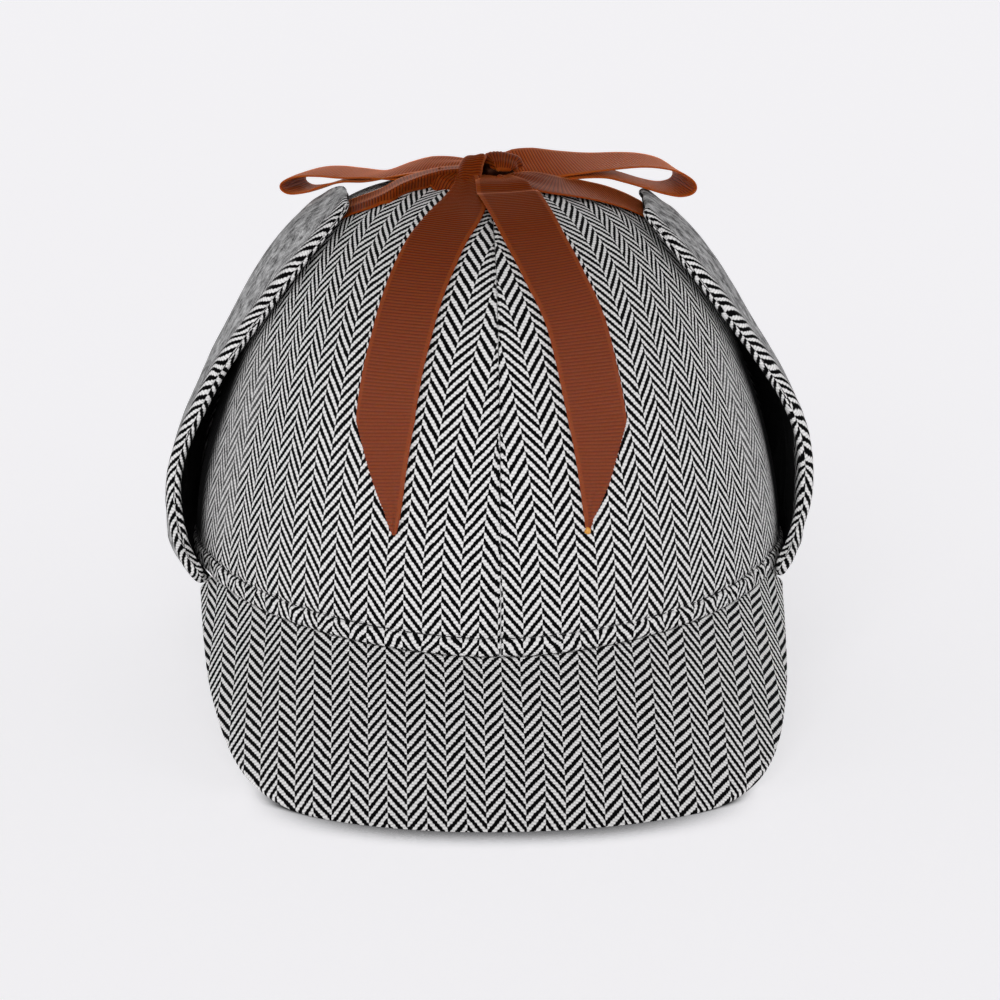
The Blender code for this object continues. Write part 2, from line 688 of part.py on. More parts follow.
def main():
    """Build every piece of the hat."""
    clear_scene()
    tweed = make_material("herringbone_tweed", (0.25, 0.25, 0.26), 0.95)
    ribbon = make_material("grosgrain_ribbon", (0.16, 0.035, 0.01), 0.55)
    build_crown(tweed)
    build_peaks(tweed, floor_block())
    build_flap("ear_flap_right", 1, FLAP_RIGHT_ROWS, tweed)
    build_flap("ear_flap_left", -1, FLAP_LEFT_ROWS, tweed)
    build_knot(ribbon)
    cutters = knot_cutters(ribbon)
    build_tie("ribbon_tie_right", 1, TIE_RIGHT_ROWS, ribbon, cutters)
    build_tie("ribbon_tie_left", -1, TIE_LEFT_ROWS, ribbon, cutters)
    right_way = (1, LOOP_RIGHT_HEADING_DEG, LOOP_RIGHT_LEAN_DEG)
    build_loop("bow_loop_right", *right_way, LOOP_RIGHT_ROWS, ribbon, cutters)
    left_way = (-1, LOOP_LEFT_HEADING_DEG, LOOP_LEFT_LEAN_DEG)
    build_loop("bow_loop_left", *left_way, LOOP_LEFT_ROWS, ribbon, cutters)
    build_tail("bow_tail_left", TAIL_LEFT_ROWS, ribbon, cutters)
    build_tail("bow_tail_right", TAIL_RIGHT_ROWS, ribbon, cutters)


main()
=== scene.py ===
"""Dressed deerstalker hat: herringbone tweed, padded ear flaps and a grosgrain ribbon bow.

Metres, +Z up, front towards -Y, right towards +X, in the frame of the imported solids. Angles
of azimuth start at the front and grow towards +X. Weave coordinates are in millimetres.
"""

import sys
import logging
import math
from collections.abc import Mapping, Sequence
from dataclasses import dataclass
from enum import Enum
from typing import NamedTuple

import bmesh
import bpy
import numpy as np
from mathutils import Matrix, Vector


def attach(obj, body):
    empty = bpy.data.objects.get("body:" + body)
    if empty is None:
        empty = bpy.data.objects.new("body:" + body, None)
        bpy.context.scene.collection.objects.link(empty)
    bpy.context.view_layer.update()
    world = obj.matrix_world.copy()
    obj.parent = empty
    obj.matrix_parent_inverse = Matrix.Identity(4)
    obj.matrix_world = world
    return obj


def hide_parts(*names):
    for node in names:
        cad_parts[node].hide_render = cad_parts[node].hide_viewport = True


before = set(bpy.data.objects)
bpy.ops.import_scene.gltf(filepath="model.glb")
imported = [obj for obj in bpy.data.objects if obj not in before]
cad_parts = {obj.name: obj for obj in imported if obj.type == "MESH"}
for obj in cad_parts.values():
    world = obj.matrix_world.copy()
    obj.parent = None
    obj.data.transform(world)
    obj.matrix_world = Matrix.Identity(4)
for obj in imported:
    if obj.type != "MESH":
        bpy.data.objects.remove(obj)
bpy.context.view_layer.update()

GOLDEN_ANGLE = 2.39996
LOG = logging.getLogger("deerstalker")
MM = 0.001
WEAVE = "weave"
FINISH = "finish"
ROOT = "root"
RIB_MM = 1.02
RIBBON_HALF_MM = 9.5
# A weave coordinate past this, beyond the ribbon's edge, marks crumpled ribbon deep in the knot, coloured
# with painted shade.
KNOT_SHADE_MM = 12.0

MATHS = "ShaderNodeMath"
VECTOR_MATHS = "ShaderNodeVectorMath"
SEPARATE = "ShaderNodeSeparateXYZ"
MIX = "ShaderNodeMix"
NOISE = "ShaderNodeTexNoise"
MAP_RANGE = "ShaderNodeMapRange"

Tree = bpy.types.NodeTree
Socket = bpy.types.NodeSocket
Material = bpy.types.Material
Mesh = bpy.types.Mesh
Piece = bpy.types.Object


class Slot(Enum):
    """Material slots of the record."""

    TWEED = "herringbone_tweed"
    RIBBON = "grosgrain_ribbon"


class Side(Enum):
    """A side of the hat, as the viewer in front of it sees it."""

    LEFT = -1
    RIGHT = 1


# ---------------------------------------------------------------- colours and nodes


def linear(hex_colour: str) -> tuple[float, float, float, float]:
    """Turn an sRGB hex colour into linear RGBA.

    Args:
        hex_colour: Colour such as "#E4E3E2".

    Returns:
        Linear red, green, blue and an alpha of 1.
    """
    channels = []
    for start in (1, 3, 5):
        value = int(hex_colour[start : start + 2], 16) / 255
        channels.append(value / 12.92 if value <= 0.04045 else ((value + 0.055) / 1.055) ** 2.4)
    return (channels[0], channels[1], channels[2], 1.0)


def set_inputs(node: bpy.types.Node, inputs: Mapping[int | str, object]) -> None:
    """Give a node's inputs their values and links.

    Args:
        node: The node.
        inputs: Socket name or number against a value or a socket to link from.
    """
    for key, value in inputs.items():
        if isinstance(value, Socket):
            node.id_data.links.new(value, node.inputs[key])
        else:
            node.inputs[key].default_value = value


def add_node(
    tree: Tree, kind: str, inputs: Mapping[int | str, object] | None = None, **settings: object
) -> bpy.types.NodeOutputs:
    """Add a node with its settings, values and links.

    Args:
        tree: Tree that the node goes into.
        kind: Node type's identifier.
        inputs: Socket name or number against a value or a socket to link from.
        settings: Node properties.

    Returns:
        The new node's outputs.
    """
    node = tree.nodes.new(kind)
    for name, value in settings.items():
        setattr(node, name, value)
    set_inputs(node, inputs or {})
    return node.outputs


def new_material(name: str) -> tuple[Material, Tree, bpy.types.Node]:
    """Start a material with only its shader.

    Args:
        name: Material's name.

    Returns:
        The material, its tree and its Principled shader.
    """
    material = bpy.data.materials.new(name)
    material.use_nodes = True
    tree = material.node_tree
    return material, tree, tree.nodes["Principled BSDF"]


# ---------------------------------------------------------------- finishes


@dataclass(frozen=True)
class HerringboneTweed:
    """Woven wool tweed in a broken two-and-two herringbone, black warp and white weft.

    Wool yarn scatters light with hardly any gloss, and its nap catches a pale sheen. Eight
    ends make one column. At a column's border the twill turns round and shifts by two picks.

    Attributes:
        end_mm: Spacing of the upright threads.
        pick_mm: Spacing of the level threads.
        column_ends: Upright threads in one column.
        white: Colour of the light yarn.
        black: Colour of the dark yarn.
        step: How much of each thread's square step the stripes' edges keep, from 0 to 1.
        white_half: Half width of a light stripe, in threads.
        slub: How far that half width varies, in threads.
        edge: Softness of a stripe's edge, in threads.
        relief_mm: Height of the threads.
        painted_shade_colour: Near-black colour of painted shade, on the flaps' inner faces and on the
            crown under the flaps.
    """

    end_mm: float = 0.69
    pick_mm: float = 0.87
    column_ends: float = 8.0
    white: str = "#F1F0EF"
    black: str = "#050506"
    step: float = 0.2
    white_half: float = 0.95
    slub: float = 0.9
    edge: float = 0.2
    relief_mm: float = 0.14
    painted_shade_colour: str = "#08080A"

    def material(self, name: str, nap_and_shade: bool = False) -> Material:
        """Make the tweed.

        Args:
            name: Material's name.
            nap_and_shade: Whether the piece carries shares of nap and of painted shade.

        Returns:
            The material.
        """
        material, tree, shader = new_material(name)
        uv = add_node(tree, "ShaderNodeUVMap", uv_map=WEAVE)["UV"]
        stripe, yarn = self._yarns(tree, uv)
        fibres = add_node(tree, NOISE, {"Vector": uv, "Scale": 2.1, "Detail": 3.0, "Roughness": 0.7})[0]
        colour = self._colour(tree, stripe, yarn, fibres)
        if nap_and_shade:
            colour = self._nap_and_painted_shade(tree, colour)
        height = add_node(tree, MATHS, {0: fibres, 1: 0.5, 2: yarn}, operation="MULTIPLY_ADD")[0]
        relief = {"Height": height, "Strength": 1.0, "Distance": self.relief_mm * MM}
        set_inputs(
            shader,
            {
                "Base Color": colour,
                "Normal": add_node(tree, "ShaderNodeBump", relief)[0],
                "Roughness": 0.95,
                "IOR": 1.54,
                "Specular IOR Level": 0.02,
                "Sheen Weight": 0.015,
                "Sheen Roughness": 0.6,
            },
        )
        return material

    def _yarns(self, tree: Tree, uv: Socket) -> tuple[Socket, Socket]:
        """Lay the light and the dark yarns.

        Args:
            tree: Material's tree.
            uv: Weave coordinates.

        Returns:
            The stripe, 1 on light yarn and 0 on dark, and the yarn's roundness, 1 on its ridge.
        """
        # Yarns wander by a tenth of a millimetre over a few threads, and the cloth by more.
        wander = self._wander(tree, uv, scale=0.42, reach=0.36)
        drift = self._wander(tree, wander, scale=0.035, reach=1.3)
        x, y, _ = add_node(tree, SEPARATE, {0: drift})
        ends = add_node(tree, MATHS, {0: x, 1: self.end_mm}, operation="DIVIDE")[0]
        picks = add_node(tree, MATHS, {0: y, 1: self.pick_mm}, operation="DIVIDE")[0]
        columns = add_node(tree, MATHS, {0: ends, 1: self.column_ends}, operation="DIVIDE")[0]
        column = add_node(tree, MATHS, {0: columns}, operation="FLOOR")[0]
        half = add_node(tree, MATHS, {0: column, 1: 0.5}, operation="MULTIPLY")[0]
        half_part = add_node(tree, MATHS, {0: half}, operation="FRACT")[0]
        odd = add_node(tree, MATHS, {0: half_part, 1: 2.0}, operation="MULTIPLY")[0]
        share = add_node(tree, MATHS, {0: columns}, operation="FRACT")[0]
        # An odd column runs the other way: the share turns to one minus itself.
        turned = add_node(tree, MATHS, {0: share, 1: -2.0, 2: 1.0}, operation="MULTIPLY_ADD")[0]
        mirrored = add_node(tree, MATHS, {0: odd, 1: turned, 2: share}, operation="MULTIPLY_ADD")[0]
        end = add_node(tree, MATHS, {0: mirrored, 1: self.column_ends}, operation="MULTIPLY")[0]
        end_floor = add_node(tree, MATHS, {0: end}, operation="FLOOR")[0]
        end_part = add_node(tree, MATHS, {0: end}, operation="FRACT")[0]
        pick_floor = add_node(tree, MATHS, {0: picks}, operation="FLOOR")[0]
        pick_part = add_node(tree, MATHS, {0: picks}, operation="FRACT")[0]
        stepped = add_node(tree, MATHS, {0: end_floor, 1: pick_floor})[0]
        parts = add_node(tree, MATHS, {0: end_part, 1: pick_part})[0]
        smooth = add_node(tree, MATHS, {0: parts, 1: 1.0}, operation="SUBTRACT")[0]
        blend = {0: smooth, 1: 1 - self.step, 2: stepped}
        phase = add_node(tree, MATHS, blend, operation="MULTIPLY_ADD")[0]
        # An odd column starts two picks further on, and the twill repeats every four threads.
        shifted = add_node(tree, MATHS, {0: odd, 1: 2.0, 2: phase}, operation="MULTIPLY_ADD")[0]
        centred = add_node(tree, MATHS, {0: shifted, 1: 1.5})[0]
        wrapped = add_node(tree, MATHS, {0: centred, 1: 4.0}, operation="FLOORED_MODULO")[0]
        offset = add_node(tree, MATHS, {0: wrapped, 1: 2.0}, operation="SUBTRACT")[0]
        distance = add_node(tree, MATHS, {0: offset}, operation="ABSOLUTE")[0]
        # No two yarns are equally thick, so the stripes swell and thin.
        slub = add_node(tree, NOISE, {"Vector": uv, "Scale": 0.42, "Detail": 2.0, "Roughness": 0.65})[0]
        thick = add_node(tree, MATHS, {0: slub, 1: self.slub, 2: distance}, operation="MULTIPLY_ADD")[0]
        uneven = add_node(tree, MATHS, {0: thick, 1: self.slub / 2}, operation="SUBTRACT")[0]
        stripe = add_node(
            tree,
            MAP_RANGE,
            {
                "Value": uneven,
                "From Min": self.white_half - self.edge,
                "From Max": self.white_half + self.edge,
                "To Min": 1.0,
                "To Max": 0.0,
            },
            interpolation_type="SMOOTHSTEP",
        )[0]
        # Each yarn is round across its own direction.
        rounds = []
        for part in (end_part, pick_part):
            across = add_node(tree, MATHS, {0: part, 1: math.pi}, operation="MULTIPLY")[0]
            rounds.append(add_node(tree, MATHS, {0: across}, operation="SINE")[0])
        yarn = add_node(tree, MIX, {"Factor": stripe, 2: rounds[0], 3: rounds[1]}, data_type="FLOAT")[0]
        return stripe, yarn

    @staticmethod
    def _wander(tree: Tree, uv: Socket, scale: float, reach: float) -> Socket:
        """Shift weave coordinates by a smooth random reach in millimetres.

        Args:
            tree: Material's tree.
            uv: Weave coordinates.
            scale: Waves in a millimetre.
            reach: Full range of the shift.

        Returns:
            The shifted coordinates.
        """
        noise = add_node(tree, NOISE, {"Vector": uv, "Scale": scale, "Detail": 1.0})["Color"]
        middle = {0: noise, 1: (0.5, 0.5, 0.5)}
        centred = add_node(tree, VECTOR_MATHS, middle, operation="SUBTRACT")[0]
        shift = {0: centred, 1: (reach, reach, reach), 2: uv}
        return add_node(tree, VECTOR_MATHS, shift, operation="MULTIPLY_ADD")[0]

    def _colour(self, tree: Tree, stripe: Socket, yarn: Socket, fibres: Socket) -> Socket:
        """Colour the yarns.

        Args:
            tree: Material's tree.
            stripe: 1 on light yarn, 0 on dark.
            yarn: Roundness of the yarn, 1 on its ridge.
            fibres: Fine noise.

        Returns:
            The colour.
        """
        dyed = {"Factor": stripe, 6: linear(self.black), 7: linear(self.white)}
        flat = add_node(tree, MIX, dyed, data_type="RGBA")[2]
        # Each yarn darkens towards its sides: painted shade between the yarns.
        shade = add_node(
            tree,
            MAP_RANGE,
            {"Value": yarn, "From Min": 0.0, "From Max": 0.8, "To Min": 0.74, "To Max": 1.0},
        )[0]
        fleck = add_node(
            tree,
            MAP_RANGE,
            {"Value": fibres, "From Min": 0.3, "From Max": 0.6, "To Min": 0.8, "To Max": 1.0},
        )[0]
        tone = add_node(tree, MATHS, {0: shade, 1: fleck}, operation="MULTIPLY")[0]
        return add_node(tree, VECTOR_MATHS, {0: flat, "Scale": tone}, operation="SCALE")[0]

    def _nap_and_painted_shade(self, tree: Tree, colour: Socket) -> Socket:
        """Grey the weave where the cloth has nap, and darken it to near black where shade is painted.

        Args:
            tree: Material's tree.
            colour: Colour of the woven cloth.

        Returns:
            The colour.
        """
        finish = add_node(tree, "ShaderNodeUVMap", uv_map=FINISH)["UV"]
        nap, painted_shade, _ = add_node(tree, SEPARATE, {0: finish})
        # Raised wool mixes black and white into an uneven grey.
        place = add_node(tree, "ShaderNodeTexCoord")["Object"]
        coarse = {"Vector": place, "Scale": 260.0, "Detail": 5.0, "Roughness": 0.72}
        patches = add_node(tree, NOISE, coarse)[0]
        grey = add_node(
            tree,
            MAP_RANGE,
            {"Value": patches, "From Min": 0.38, "From Max": 0.62, "To Min": 0.1, "To Max": 0.66},
        )[0]
        # The second share is painted shade: near black on the flaps' inner faces and on the crown under
        # the flaps.
        for share, layer in ((nap, grey), (painted_shade, linear(self.painted_shade_colour))):
            colour = add_node(tree, MIX, {"Factor": share, 6: colour, 7: layer}, data_type="RGBA")[2]
        return colour


@dataclass(frozen=True)
class GrosgrainRibbon:
    """Woven polyester grosgrain: close ribs across, and a plain selvedge at both edges.

    Filament yarn gives the ribs a low satin sheen, brightest where they face a light.

    Attributes:
        rib_mm: Rib pitch.
        half_mm: Half the ribbon's width.
        selvedge_mm: Width of the plain edge.
        ridge: Colour on the ribs.
        valley_shade: Darker colour between the ribs, painted shade in the rib valleys.
        edge: Colour of the selvedge.
        painted_sheen: Painted sheen: the paler, hazier colour that the ribbon nears towards its free
            ends.
        fade: How far it nears it there, from 0 to 1.
        sheen_from_mm: Where the painted sheen starts along a length.
        sheen_to_mm: Where it is complete.
        inner: Near-black painted shade on crumpled ribbon deep in the knot.
        knot_shade_mm: Weave coordinate past the ribbon's edge that marks such ribbon.
        sheen_roughness: Roughness of the filaments' sheen.
    """

    rib_mm: float = RIB_MM
    half_mm: float = RIBBON_HALF_MM
    selvedge_mm: float = 1.3
    ridge: str = "#752F08"
    valley_shade: str = "#370D02"
    edge: str = "#83390C"
    painted_sheen: str = "#8F4F3A"
    fade: float = 0.5
    sheen_from_mm: float = 15.0
    sheen_to_mm: float = 105.0
    inner: str = "#150401"
    knot_shade_mm: float = KNOT_SHADE_MM
    sheen_roughness: float = 0.24

    def material(self, name: str) -> Material:
        """Make the ribbon's finish.

        Args:
            name: Material's name.

        Returns:
            The material.
        """
        material, tree, shader = new_material(name)
        uv = add_node(tree, "ShaderNodeUVMap", uv_map=WEAVE)["UV"]
        across, along, _ = add_node(tree, SEPARATE, {0: uv})
        turn = add_node(tree, MATHS, {0: along, 1: math.tau / self.rib_mm}, operation="MULTIPLY")[0]
        wave = add_node(tree, MATHS, {0: turn}, operation="COSINE")[0]
        ribs = {"Value": wave, "From Min": -1.1, "From Max": -0.1}
        ridge = add_node(tree, MAP_RANGE, ribs, interpolation_type="SMOOTHSTEP")[0]
        from_middle = add_node(tree, MATHS, {0: across}, operation="ABSOLUTE")[0]
        plain = self.half_mm - self.selvedge_mm
        border = {"Value": from_middle, "From Min": plain - 0.15, "From Max": plain + 0.15}
        selvedge = add_node(tree, MAP_RANGE, border)[0]
        # Painted sheen: the ribbon turns paler and hazier towards its free ends.
        sheen_span = {
            "Value": along,
            "From Min": self.sheen_from_mm,
            "From Max": self.sheen_to_mm,
            "To Max": self.fade,
        }
        painted_sheen_share = add_node(tree, MAP_RANGE, sheen_span, interpolation_type="SMOOTHSTEP")[0]
        # Past that mark the colour is painted shade.
        deep = add_node(tree, MATHS, {0: from_middle, 1: self.knot_shade_mm}, operation="GREATER_THAN")[0]
        # The ribs rise from the darker valley colour, which is painted shade.
        colour = linear(self.valley_shade)
        layers = ((ridge, self.ridge), (selvedge, self.edge), (painted_sheen_share, self.painted_sheen), (deep, self.inner))
        for share, layer in layers:
            mixed = {"Factor": share, 6: colour, 7: linear(layer)}
            colour = add_node(tree, MIX, mixed, data_type="RGBA")[2]
        threads = add_node(tree, NOISE, {"Vector": uv, "Scale": 1.7, "Detail": 3.0, "Roughness": 0.7})[0]
        tone = add_node(
            tree,
            MAP_RANGE,
            {"Value": threads, "From Min": 0.3, "From Max": 0.7, "To Min": 0.88, "To Max": 1.08},
        )[0]
        relief = {"Height": threads, "Strength": 0.5, "Distance": 0.05 * MM}
        set_inputs(
            shader,
            {
                "Base Color": add_node(
                    tree, VECTOR_MATHS, {0: colour, "Scale": tone}, operation="SCALE"
                )[0],
                "Normal": add_node(tree, "ShaderNodeBump", relief)[0],
                "Roughness": 0.44,
                "IOR": 1.5,
                "Specular IOR Level": 0.16,
                "Specular Tint": linear("#FFA684"),
                # Light comes through thin ribbon and leaves it a warmer brown.
                "Subsurface Weight": 0.5,
                "Subsurface Radius": (1.0, 0.24, 0.05),
                "Subsurface Scale": 1.3 * MM,
                "Sheen Weight": 1.0,
                "Sheen Roughness": self.sheen_roughness,
                "Sheen Tint": linear("#FF9860"),
            },
        )
        return material


@dataclass(frozen=True)
class PlainFinish:
    """An even matt finish with a slight variation, for thread, sealed ribbon and the floor.

    Attributes:
        colour: Main colour.
        other: Colour that it varies to.
        roughness: Surface roughness.
        scale: Waves of the variation in a metre.
        glow: Light that it gives off itself.
        shade_reach: Reach of the ambient occlusion that darkens both its glow and its colour as a painted
            contact shadow, if at all.
        shade_half: Half the width of the strip, about the middle, that gets this painted shadow.
        shade_core: Share of that half width over which the shade is full.
        shade_power: How much darker than its open share of sky such a place is, as a power.
    """

    colour: str
    other: str
    roughness: float
    scale: float
    glow: float = 0.0
    shade_reach: float = 0.0
    shade_half: float = 1.0
    shade_core: float = 0.3
    shade_power: float = 14.0

    def material(self, name: str) -> Material:
        """Make the finish.

        Args:
            name: Material's name.

        Returns:
            The material.
        """
        material, tree, shader = new_material(name)
        place = add_node(tree, "ShaderNodeTexCoord")["Object"]
        noise = add_node(tree, NOISE, {"Vector": place, "Scale": self.scale})[0]
        mixed = {"Factor": noise, 6: linear(self.colour), 7: linear(self.other)}
        colour = add_node(tree, MIX, mixed, data_type="RGBA")[2]
        glow: Socket | float = self.glow
        if self.shade_reach:
            lit = self._painted_contact_shadow(tree, place)
            # Painted contact shadow: ambient occlusion darkens both the glow and the colour.
            glow = add_node(tree, MATHS, {0: lit, 1: self.glow}, operation="MULTIPLY")[0]
            colour = add_node(tree, VECTOR_MATHS, {0: colour, "Scale": lit}, operation="SCALE")[0]
        set_inputs(
            shader,
            {
                "Base Color": colour,
                "Roughness": self.roughness,
                "Emission Color": (1.0, 0.995, 1.01, 1.0),
                "Emission Strength": glow,
            },
        )
        return material

    def _painted_contact_shadow(self, tree: Tree, place: Socket) -> Socket:
        """Share of its glow and colour that the finish keeps beside what stands on it: a painted contact
        shadow.

        Args:
            tree: Material's tree.
            place: Coordinates with x across the strip that is shaded.

        Returns:
            The share.
        """
        near = {"Distance": self.shade_reach}
        open_share = add_node(tree, "ShaderNodeAmbientOcclusion", near, samples=16)["AO"]
        sideways = add_node(tree, SEPARATE, {0: place})[0]
        from_middle = add_node(tree, MATHS, {0: sideways}, operation="ABSOLUTE")[0]
        fading = {
            "Value": from_middle,
            "From Min": self.shade_core * self.shade_half,
            "From Max": self.shade_half,
            "To Min": self.shade_power,
            "To Max": 0.0,
        }
        power = add_node(tree, MAP_RANGE, fading, interpolation_type="SMOOTHSTEP")[0]
        return add_node(tree, MATHS, {0: open_share, 1: power}, operation="POWER")[0]


# ---------------------------------------------------------------- grids and shells


def smooth_through(points: np.ndarray, shares: np.ndarray) -> np.ndarray:
    """Points of a smooth curve through evenly numbered points.

    Args:
        points: Points, one row each.
        shares: Places along the curve from 0 to 1.

    Returns:
        One row for each share.
    """
    last = len(points) - 1
    place = np.clip(shares, 0, 1) * last
    index = np.minimum(place.astype(int), last - 1)
    t = (place - index)[:, None]
    before = points[np.maximum(index - 1, 0)]
    start = points[index]
    end = points[index + 1]
    after = points[np.minimum(index + 2, last)]
    return 0.5 * (
        2 * start
        + (end - before) * t
        + (2 * before - 5 * start + 4 * end - after) * t**2
        + (3 * start - before - 3 * end + after) * t**3
    )


def smoothstep(value: np.ndarray) -> np.ndarray:
    """Ease from 0 to 1."""
    value = np.clip(value, 0, 1)
    return value * value * (3 - 2 * value)


def unit(vectors: np.ndarray) -> np.ndarray:
    """Vectors brought to length 1."""
    return vectors / np.linalg.norm(vectors, axis=-1, keepdims=True)


def spaced(length: float, step: float, radius: float, arcs: int = 4) -> np.ndarray:
    """Distances along a length, close together on the rounding at both ends.

    Args:
        length: Whole length.
        step: Spacing between the roundings.
        radius: Radius of the rounding at each end.
        arcs: Steps on each rounding.

    Returns:
        Distances from 0 to the length.
    """
    turn = np.linspace(0, math.pi / 2, arcs + 1)
    start = radius * (1 - np.cos(turn))
    count = max(int(math.ceil((length - 2 * radius) / step)), 1)
    middle = np.linspace(radius, length - radius, count + 1)[1:-1]
    return np.concatenate((start, middle, length - start[::-1]))


def spaced_along(path: np.ndarray, step: float, radius: float) -> tuple[np.ndarray, np.ndarray]:
    """Lengths spaced out along a path, and the shares of its points where they fall.

    Args:
        path: Points close together, at even shares from 0 to 1.
        step: Spacing between the roundings.
        radius: Radius of the rounding at each end.

    Returns:
        The lengths and the shares.
    """
    run = np.concatenate(([0], np.cumsum(np.linalg.norm(np.diff(path, axis=0), axis=1))))
    lengths = spaced(run[-1], step, radius, arcs=2)
    return lengths, np.interp(lengths, run, np.linspace(0, 1, len(path)))


def rounding(distance: np.ndarray, radius: float) -> np.ndarray:
    """Share of full thickness at a distance from a rounded edge."""
    short = np.clip(1 - distance / radius, 0, 1)
    return np.sqrt(1 - short**2)


def grid_normals(grid: np.ndarray) -> np.ndarray:
    """Unit normals of a grid, on the side from which its rows run left to right.

    Args:
        grid: Grid of points.

    Returns:
        Grid of normals.
    """
    along_row = np.gradient(grid, axis=1)
    along_column = np.gradient(grid, axis=0)
    normals = np.cross(along_row, along_column)
    return normals / np.maximum(np.linalg.norm(normals, axis=2, keepdims=True), 1e-12)


def run_lengths(grid: np.ndarray, axis: int, start: int) -> np.ndarray:
    """Distance along a grid's lines from a starting line.

    Args:
        grid: Grid of points.
        axis: 0 up the columns, 1 along the rows.
        start: Number of the line at distance 0.

    Returns:
        Signed distances, in the grid's units.
    """
    steps = np.linalg.norm(np.diff(grid, axis=axis), axis=2)
    pad = [(0, 0), (0, 0)]
    pad[axis] = (1, 0)
    runs = np.cumsum(np.pad(steps, pad), axis=axis)
    return runs - np.take(runs, [start], axis=axis)


def level_wave(x: np.ndarray, y: np.ndarray, length: float, seed: float) -> np.ndarray:
    """A smooth irregular wave from -1 to 1 over two coordinates.

    Args:
        x: First coordinate.
        y: Second coordinate.
        length: Mean wave length, in the coordinates' units.
        seed: Number that sets the phases.

    Returns:
        The wave.
    """
    total = np.zeros_like(x)
    for i in range(5):
        turn = seed * (1.7 + i) + i * GOLDEN_ANGLE
        size = math.tau / (length * (0.7 + 0.22 * i))
        place = x * math.cos(turn) + y * math.sin(turn)
        total = total + np.sin(size * place + seed * (i + 1) ** 2)
    return total / 3.2


@dataclass(frozen=True)
class Shell:
    """A closed skin of cloth between an outer and an inner grid of points.

    Attributes:
        outer: Grid of the face on the normal side, rows by columns by 3.
        inner: Grid of the other face.
        outer_weave: Weave coordinates of the outer face, rows by columns by 2.
        inner_weave: Weave coordinates of the inner face.
        outer_finish: Shares of brushing and of painted shade on the outer face, where it has them.
        inner_finish: The same on the inner face.
    """

    outer: np.ndarray
    inner: np.ndarray
    outer_weave: np.ndarray
    inner_weave: np.ndarray
    outer_finish: np.ndarray | None = None
    inner_finish: np.ndarray | None = None

    def faces(self, start: int) -> list[tuple[int, int, int, int]]:
        """Faces of both grids and of the strip round their border.

        Args:
            start: Number of the first vertex.

        Returns:
            Four vertex numbers for each face.
        """
        rows, columns = self.outer.shape[:2]
        top = np.arange(rows * columns).reshape(rows, columns) + start
        low = top + rows * columns
        quads = [
            np.stack((top[:-1, :-1], top[:-1, 1:], top[1:, 1:], top[1:, :-1]), axis=-1),
            np.stack((low[:-1, :-1], low[1:, :-1], low[1:, 1:], low[:-1, 1:]), axis=-1),
        ]
        loops = [quad.reshape(-1, 4) for quad in quads]
        top_rim = self._rim(top)
        low_rim = self._rim(low)
        loops.append(
            np.stack((np.roll(top_rim, -1), top_rim, low_rim, np.roll(low_rim, -1)), axis=-1)
        )
        return [tuple(int(v) for v in face) for face in np.concatenate(loops)]

    @staticmethod
    def _rim(numbers: np.ndarray) -> np.ndarray:
        """Vertex numbers round a grid's border."""
        return np.concatenate(
            (numbers[0, :-1], numbers[:-1, -1], numbers[-1, :0:-1], numbers[:0:-1, 0])
        )


def shell_mesh(name: str, shells: Sequence[Shell]) -> Mesh:
    """One mesh of closed shells with their weave coordinates.

    Args:
        name: Mesh name.
        shells: Shells that it is made of.

    Returns:
        The mesh, with doubled points merged.
    """
    points: list[np.ndarray] = []
    weave: list[np.ndarray] = []
    finish: list[np.ndarray] = []
    faces: list[tuple[int, int, int, int]] = []
    for shell in shells:
        faces.extend(shell.faces(sum(len(block) for block in points)))
        points.append(np.concatenate((shell.outer.reshape(-1, 3), shell.inner.reshape(-1, 3))))
        weave.append(
            np.concatenate((shell.outer_weave.reshape(-1, 2), shell.inner_weave.reshape(-1, 2)))
        )
        if shell.outer_finish is not None and shell.inner_finish is not None:
            finish.extend((shell.outer_finish.reshape(-1, 2), shell.inner_finish.reshape(-1, 2)))
    mesh = bpy.data.meshes.new(name)
    mesh.from_pydata(np.concatenate(points).tolist(), [], faces)
    corners = np.empty(len(mesh.loops), dtype=np.int32)
    mesh.loops.foreach_get("vertex_index", corners)
    for layer_name, values in ((WEAVE, weave), (FINISH, finish)):
        if values:
            layer = mesh.uv_layers.new(name=layer_name)
            layer.data.foreach_set("uv", np.concatenate(values)[corners].astype(np.float32).ravel())
    shape = bmesh.new()
    shape.from_mesh(mesh)
    bmesh.ops.remove_doubles(shape, verts=shape.verts, dist=1e-7)
    shape.to_mesh(mesh)
    shape.free()
    mesh.shade_smooth()
    return mesh


def add_piece(name: str, mesh: Mesh, material: Material) -> Piece:
    """Put a mesh into the scene.

    Args:
        name: Object's name.
        mesh: Mesh.
        material: Its only material.

    Returns:
        The object.
    """
    piece = bpy.data.objects.new(name, mesh)
    mesh.materials.clear()
    mesh.materials.append(material)
    bpy.context.scene.collection.objects.link(piece)
    return piece


def plain_copy(piece: Piece) -> None:
    """Turn a piece's modifiers into plain mesh, and remove them.

    Args:
        piece: The piece.
    """
    evaluated = piece.evaluated_get(bpy.context.evaluated_depsgraph_get())
    mesh = bpy.data.meshes.new_from_object(evaluated)
    piece.modifiers.clear()
    piece.data = mesh


def vertex_values(mesh: Mesh, name: str) -> np.ndarray:
    """Read a mesh's vertices.

    Args:
        mesh: The mesh.
        name: "co" for their points, "normal" for their normals.

    Returns:
        One row for each vertex.
    """
    values = np.empty(3 * len(mesh.vertices))
    mesh.vertices.foreach_get(name, values)
    return values.reshape(-1, 3)


def move_vertices(mesh: Mesh, points: np.ndarray) -> None:
    """Move a mesh's vertices to points, one row each."""
    mesh.vertices.foreach_set("co", points.ravel())
    mesh.update()


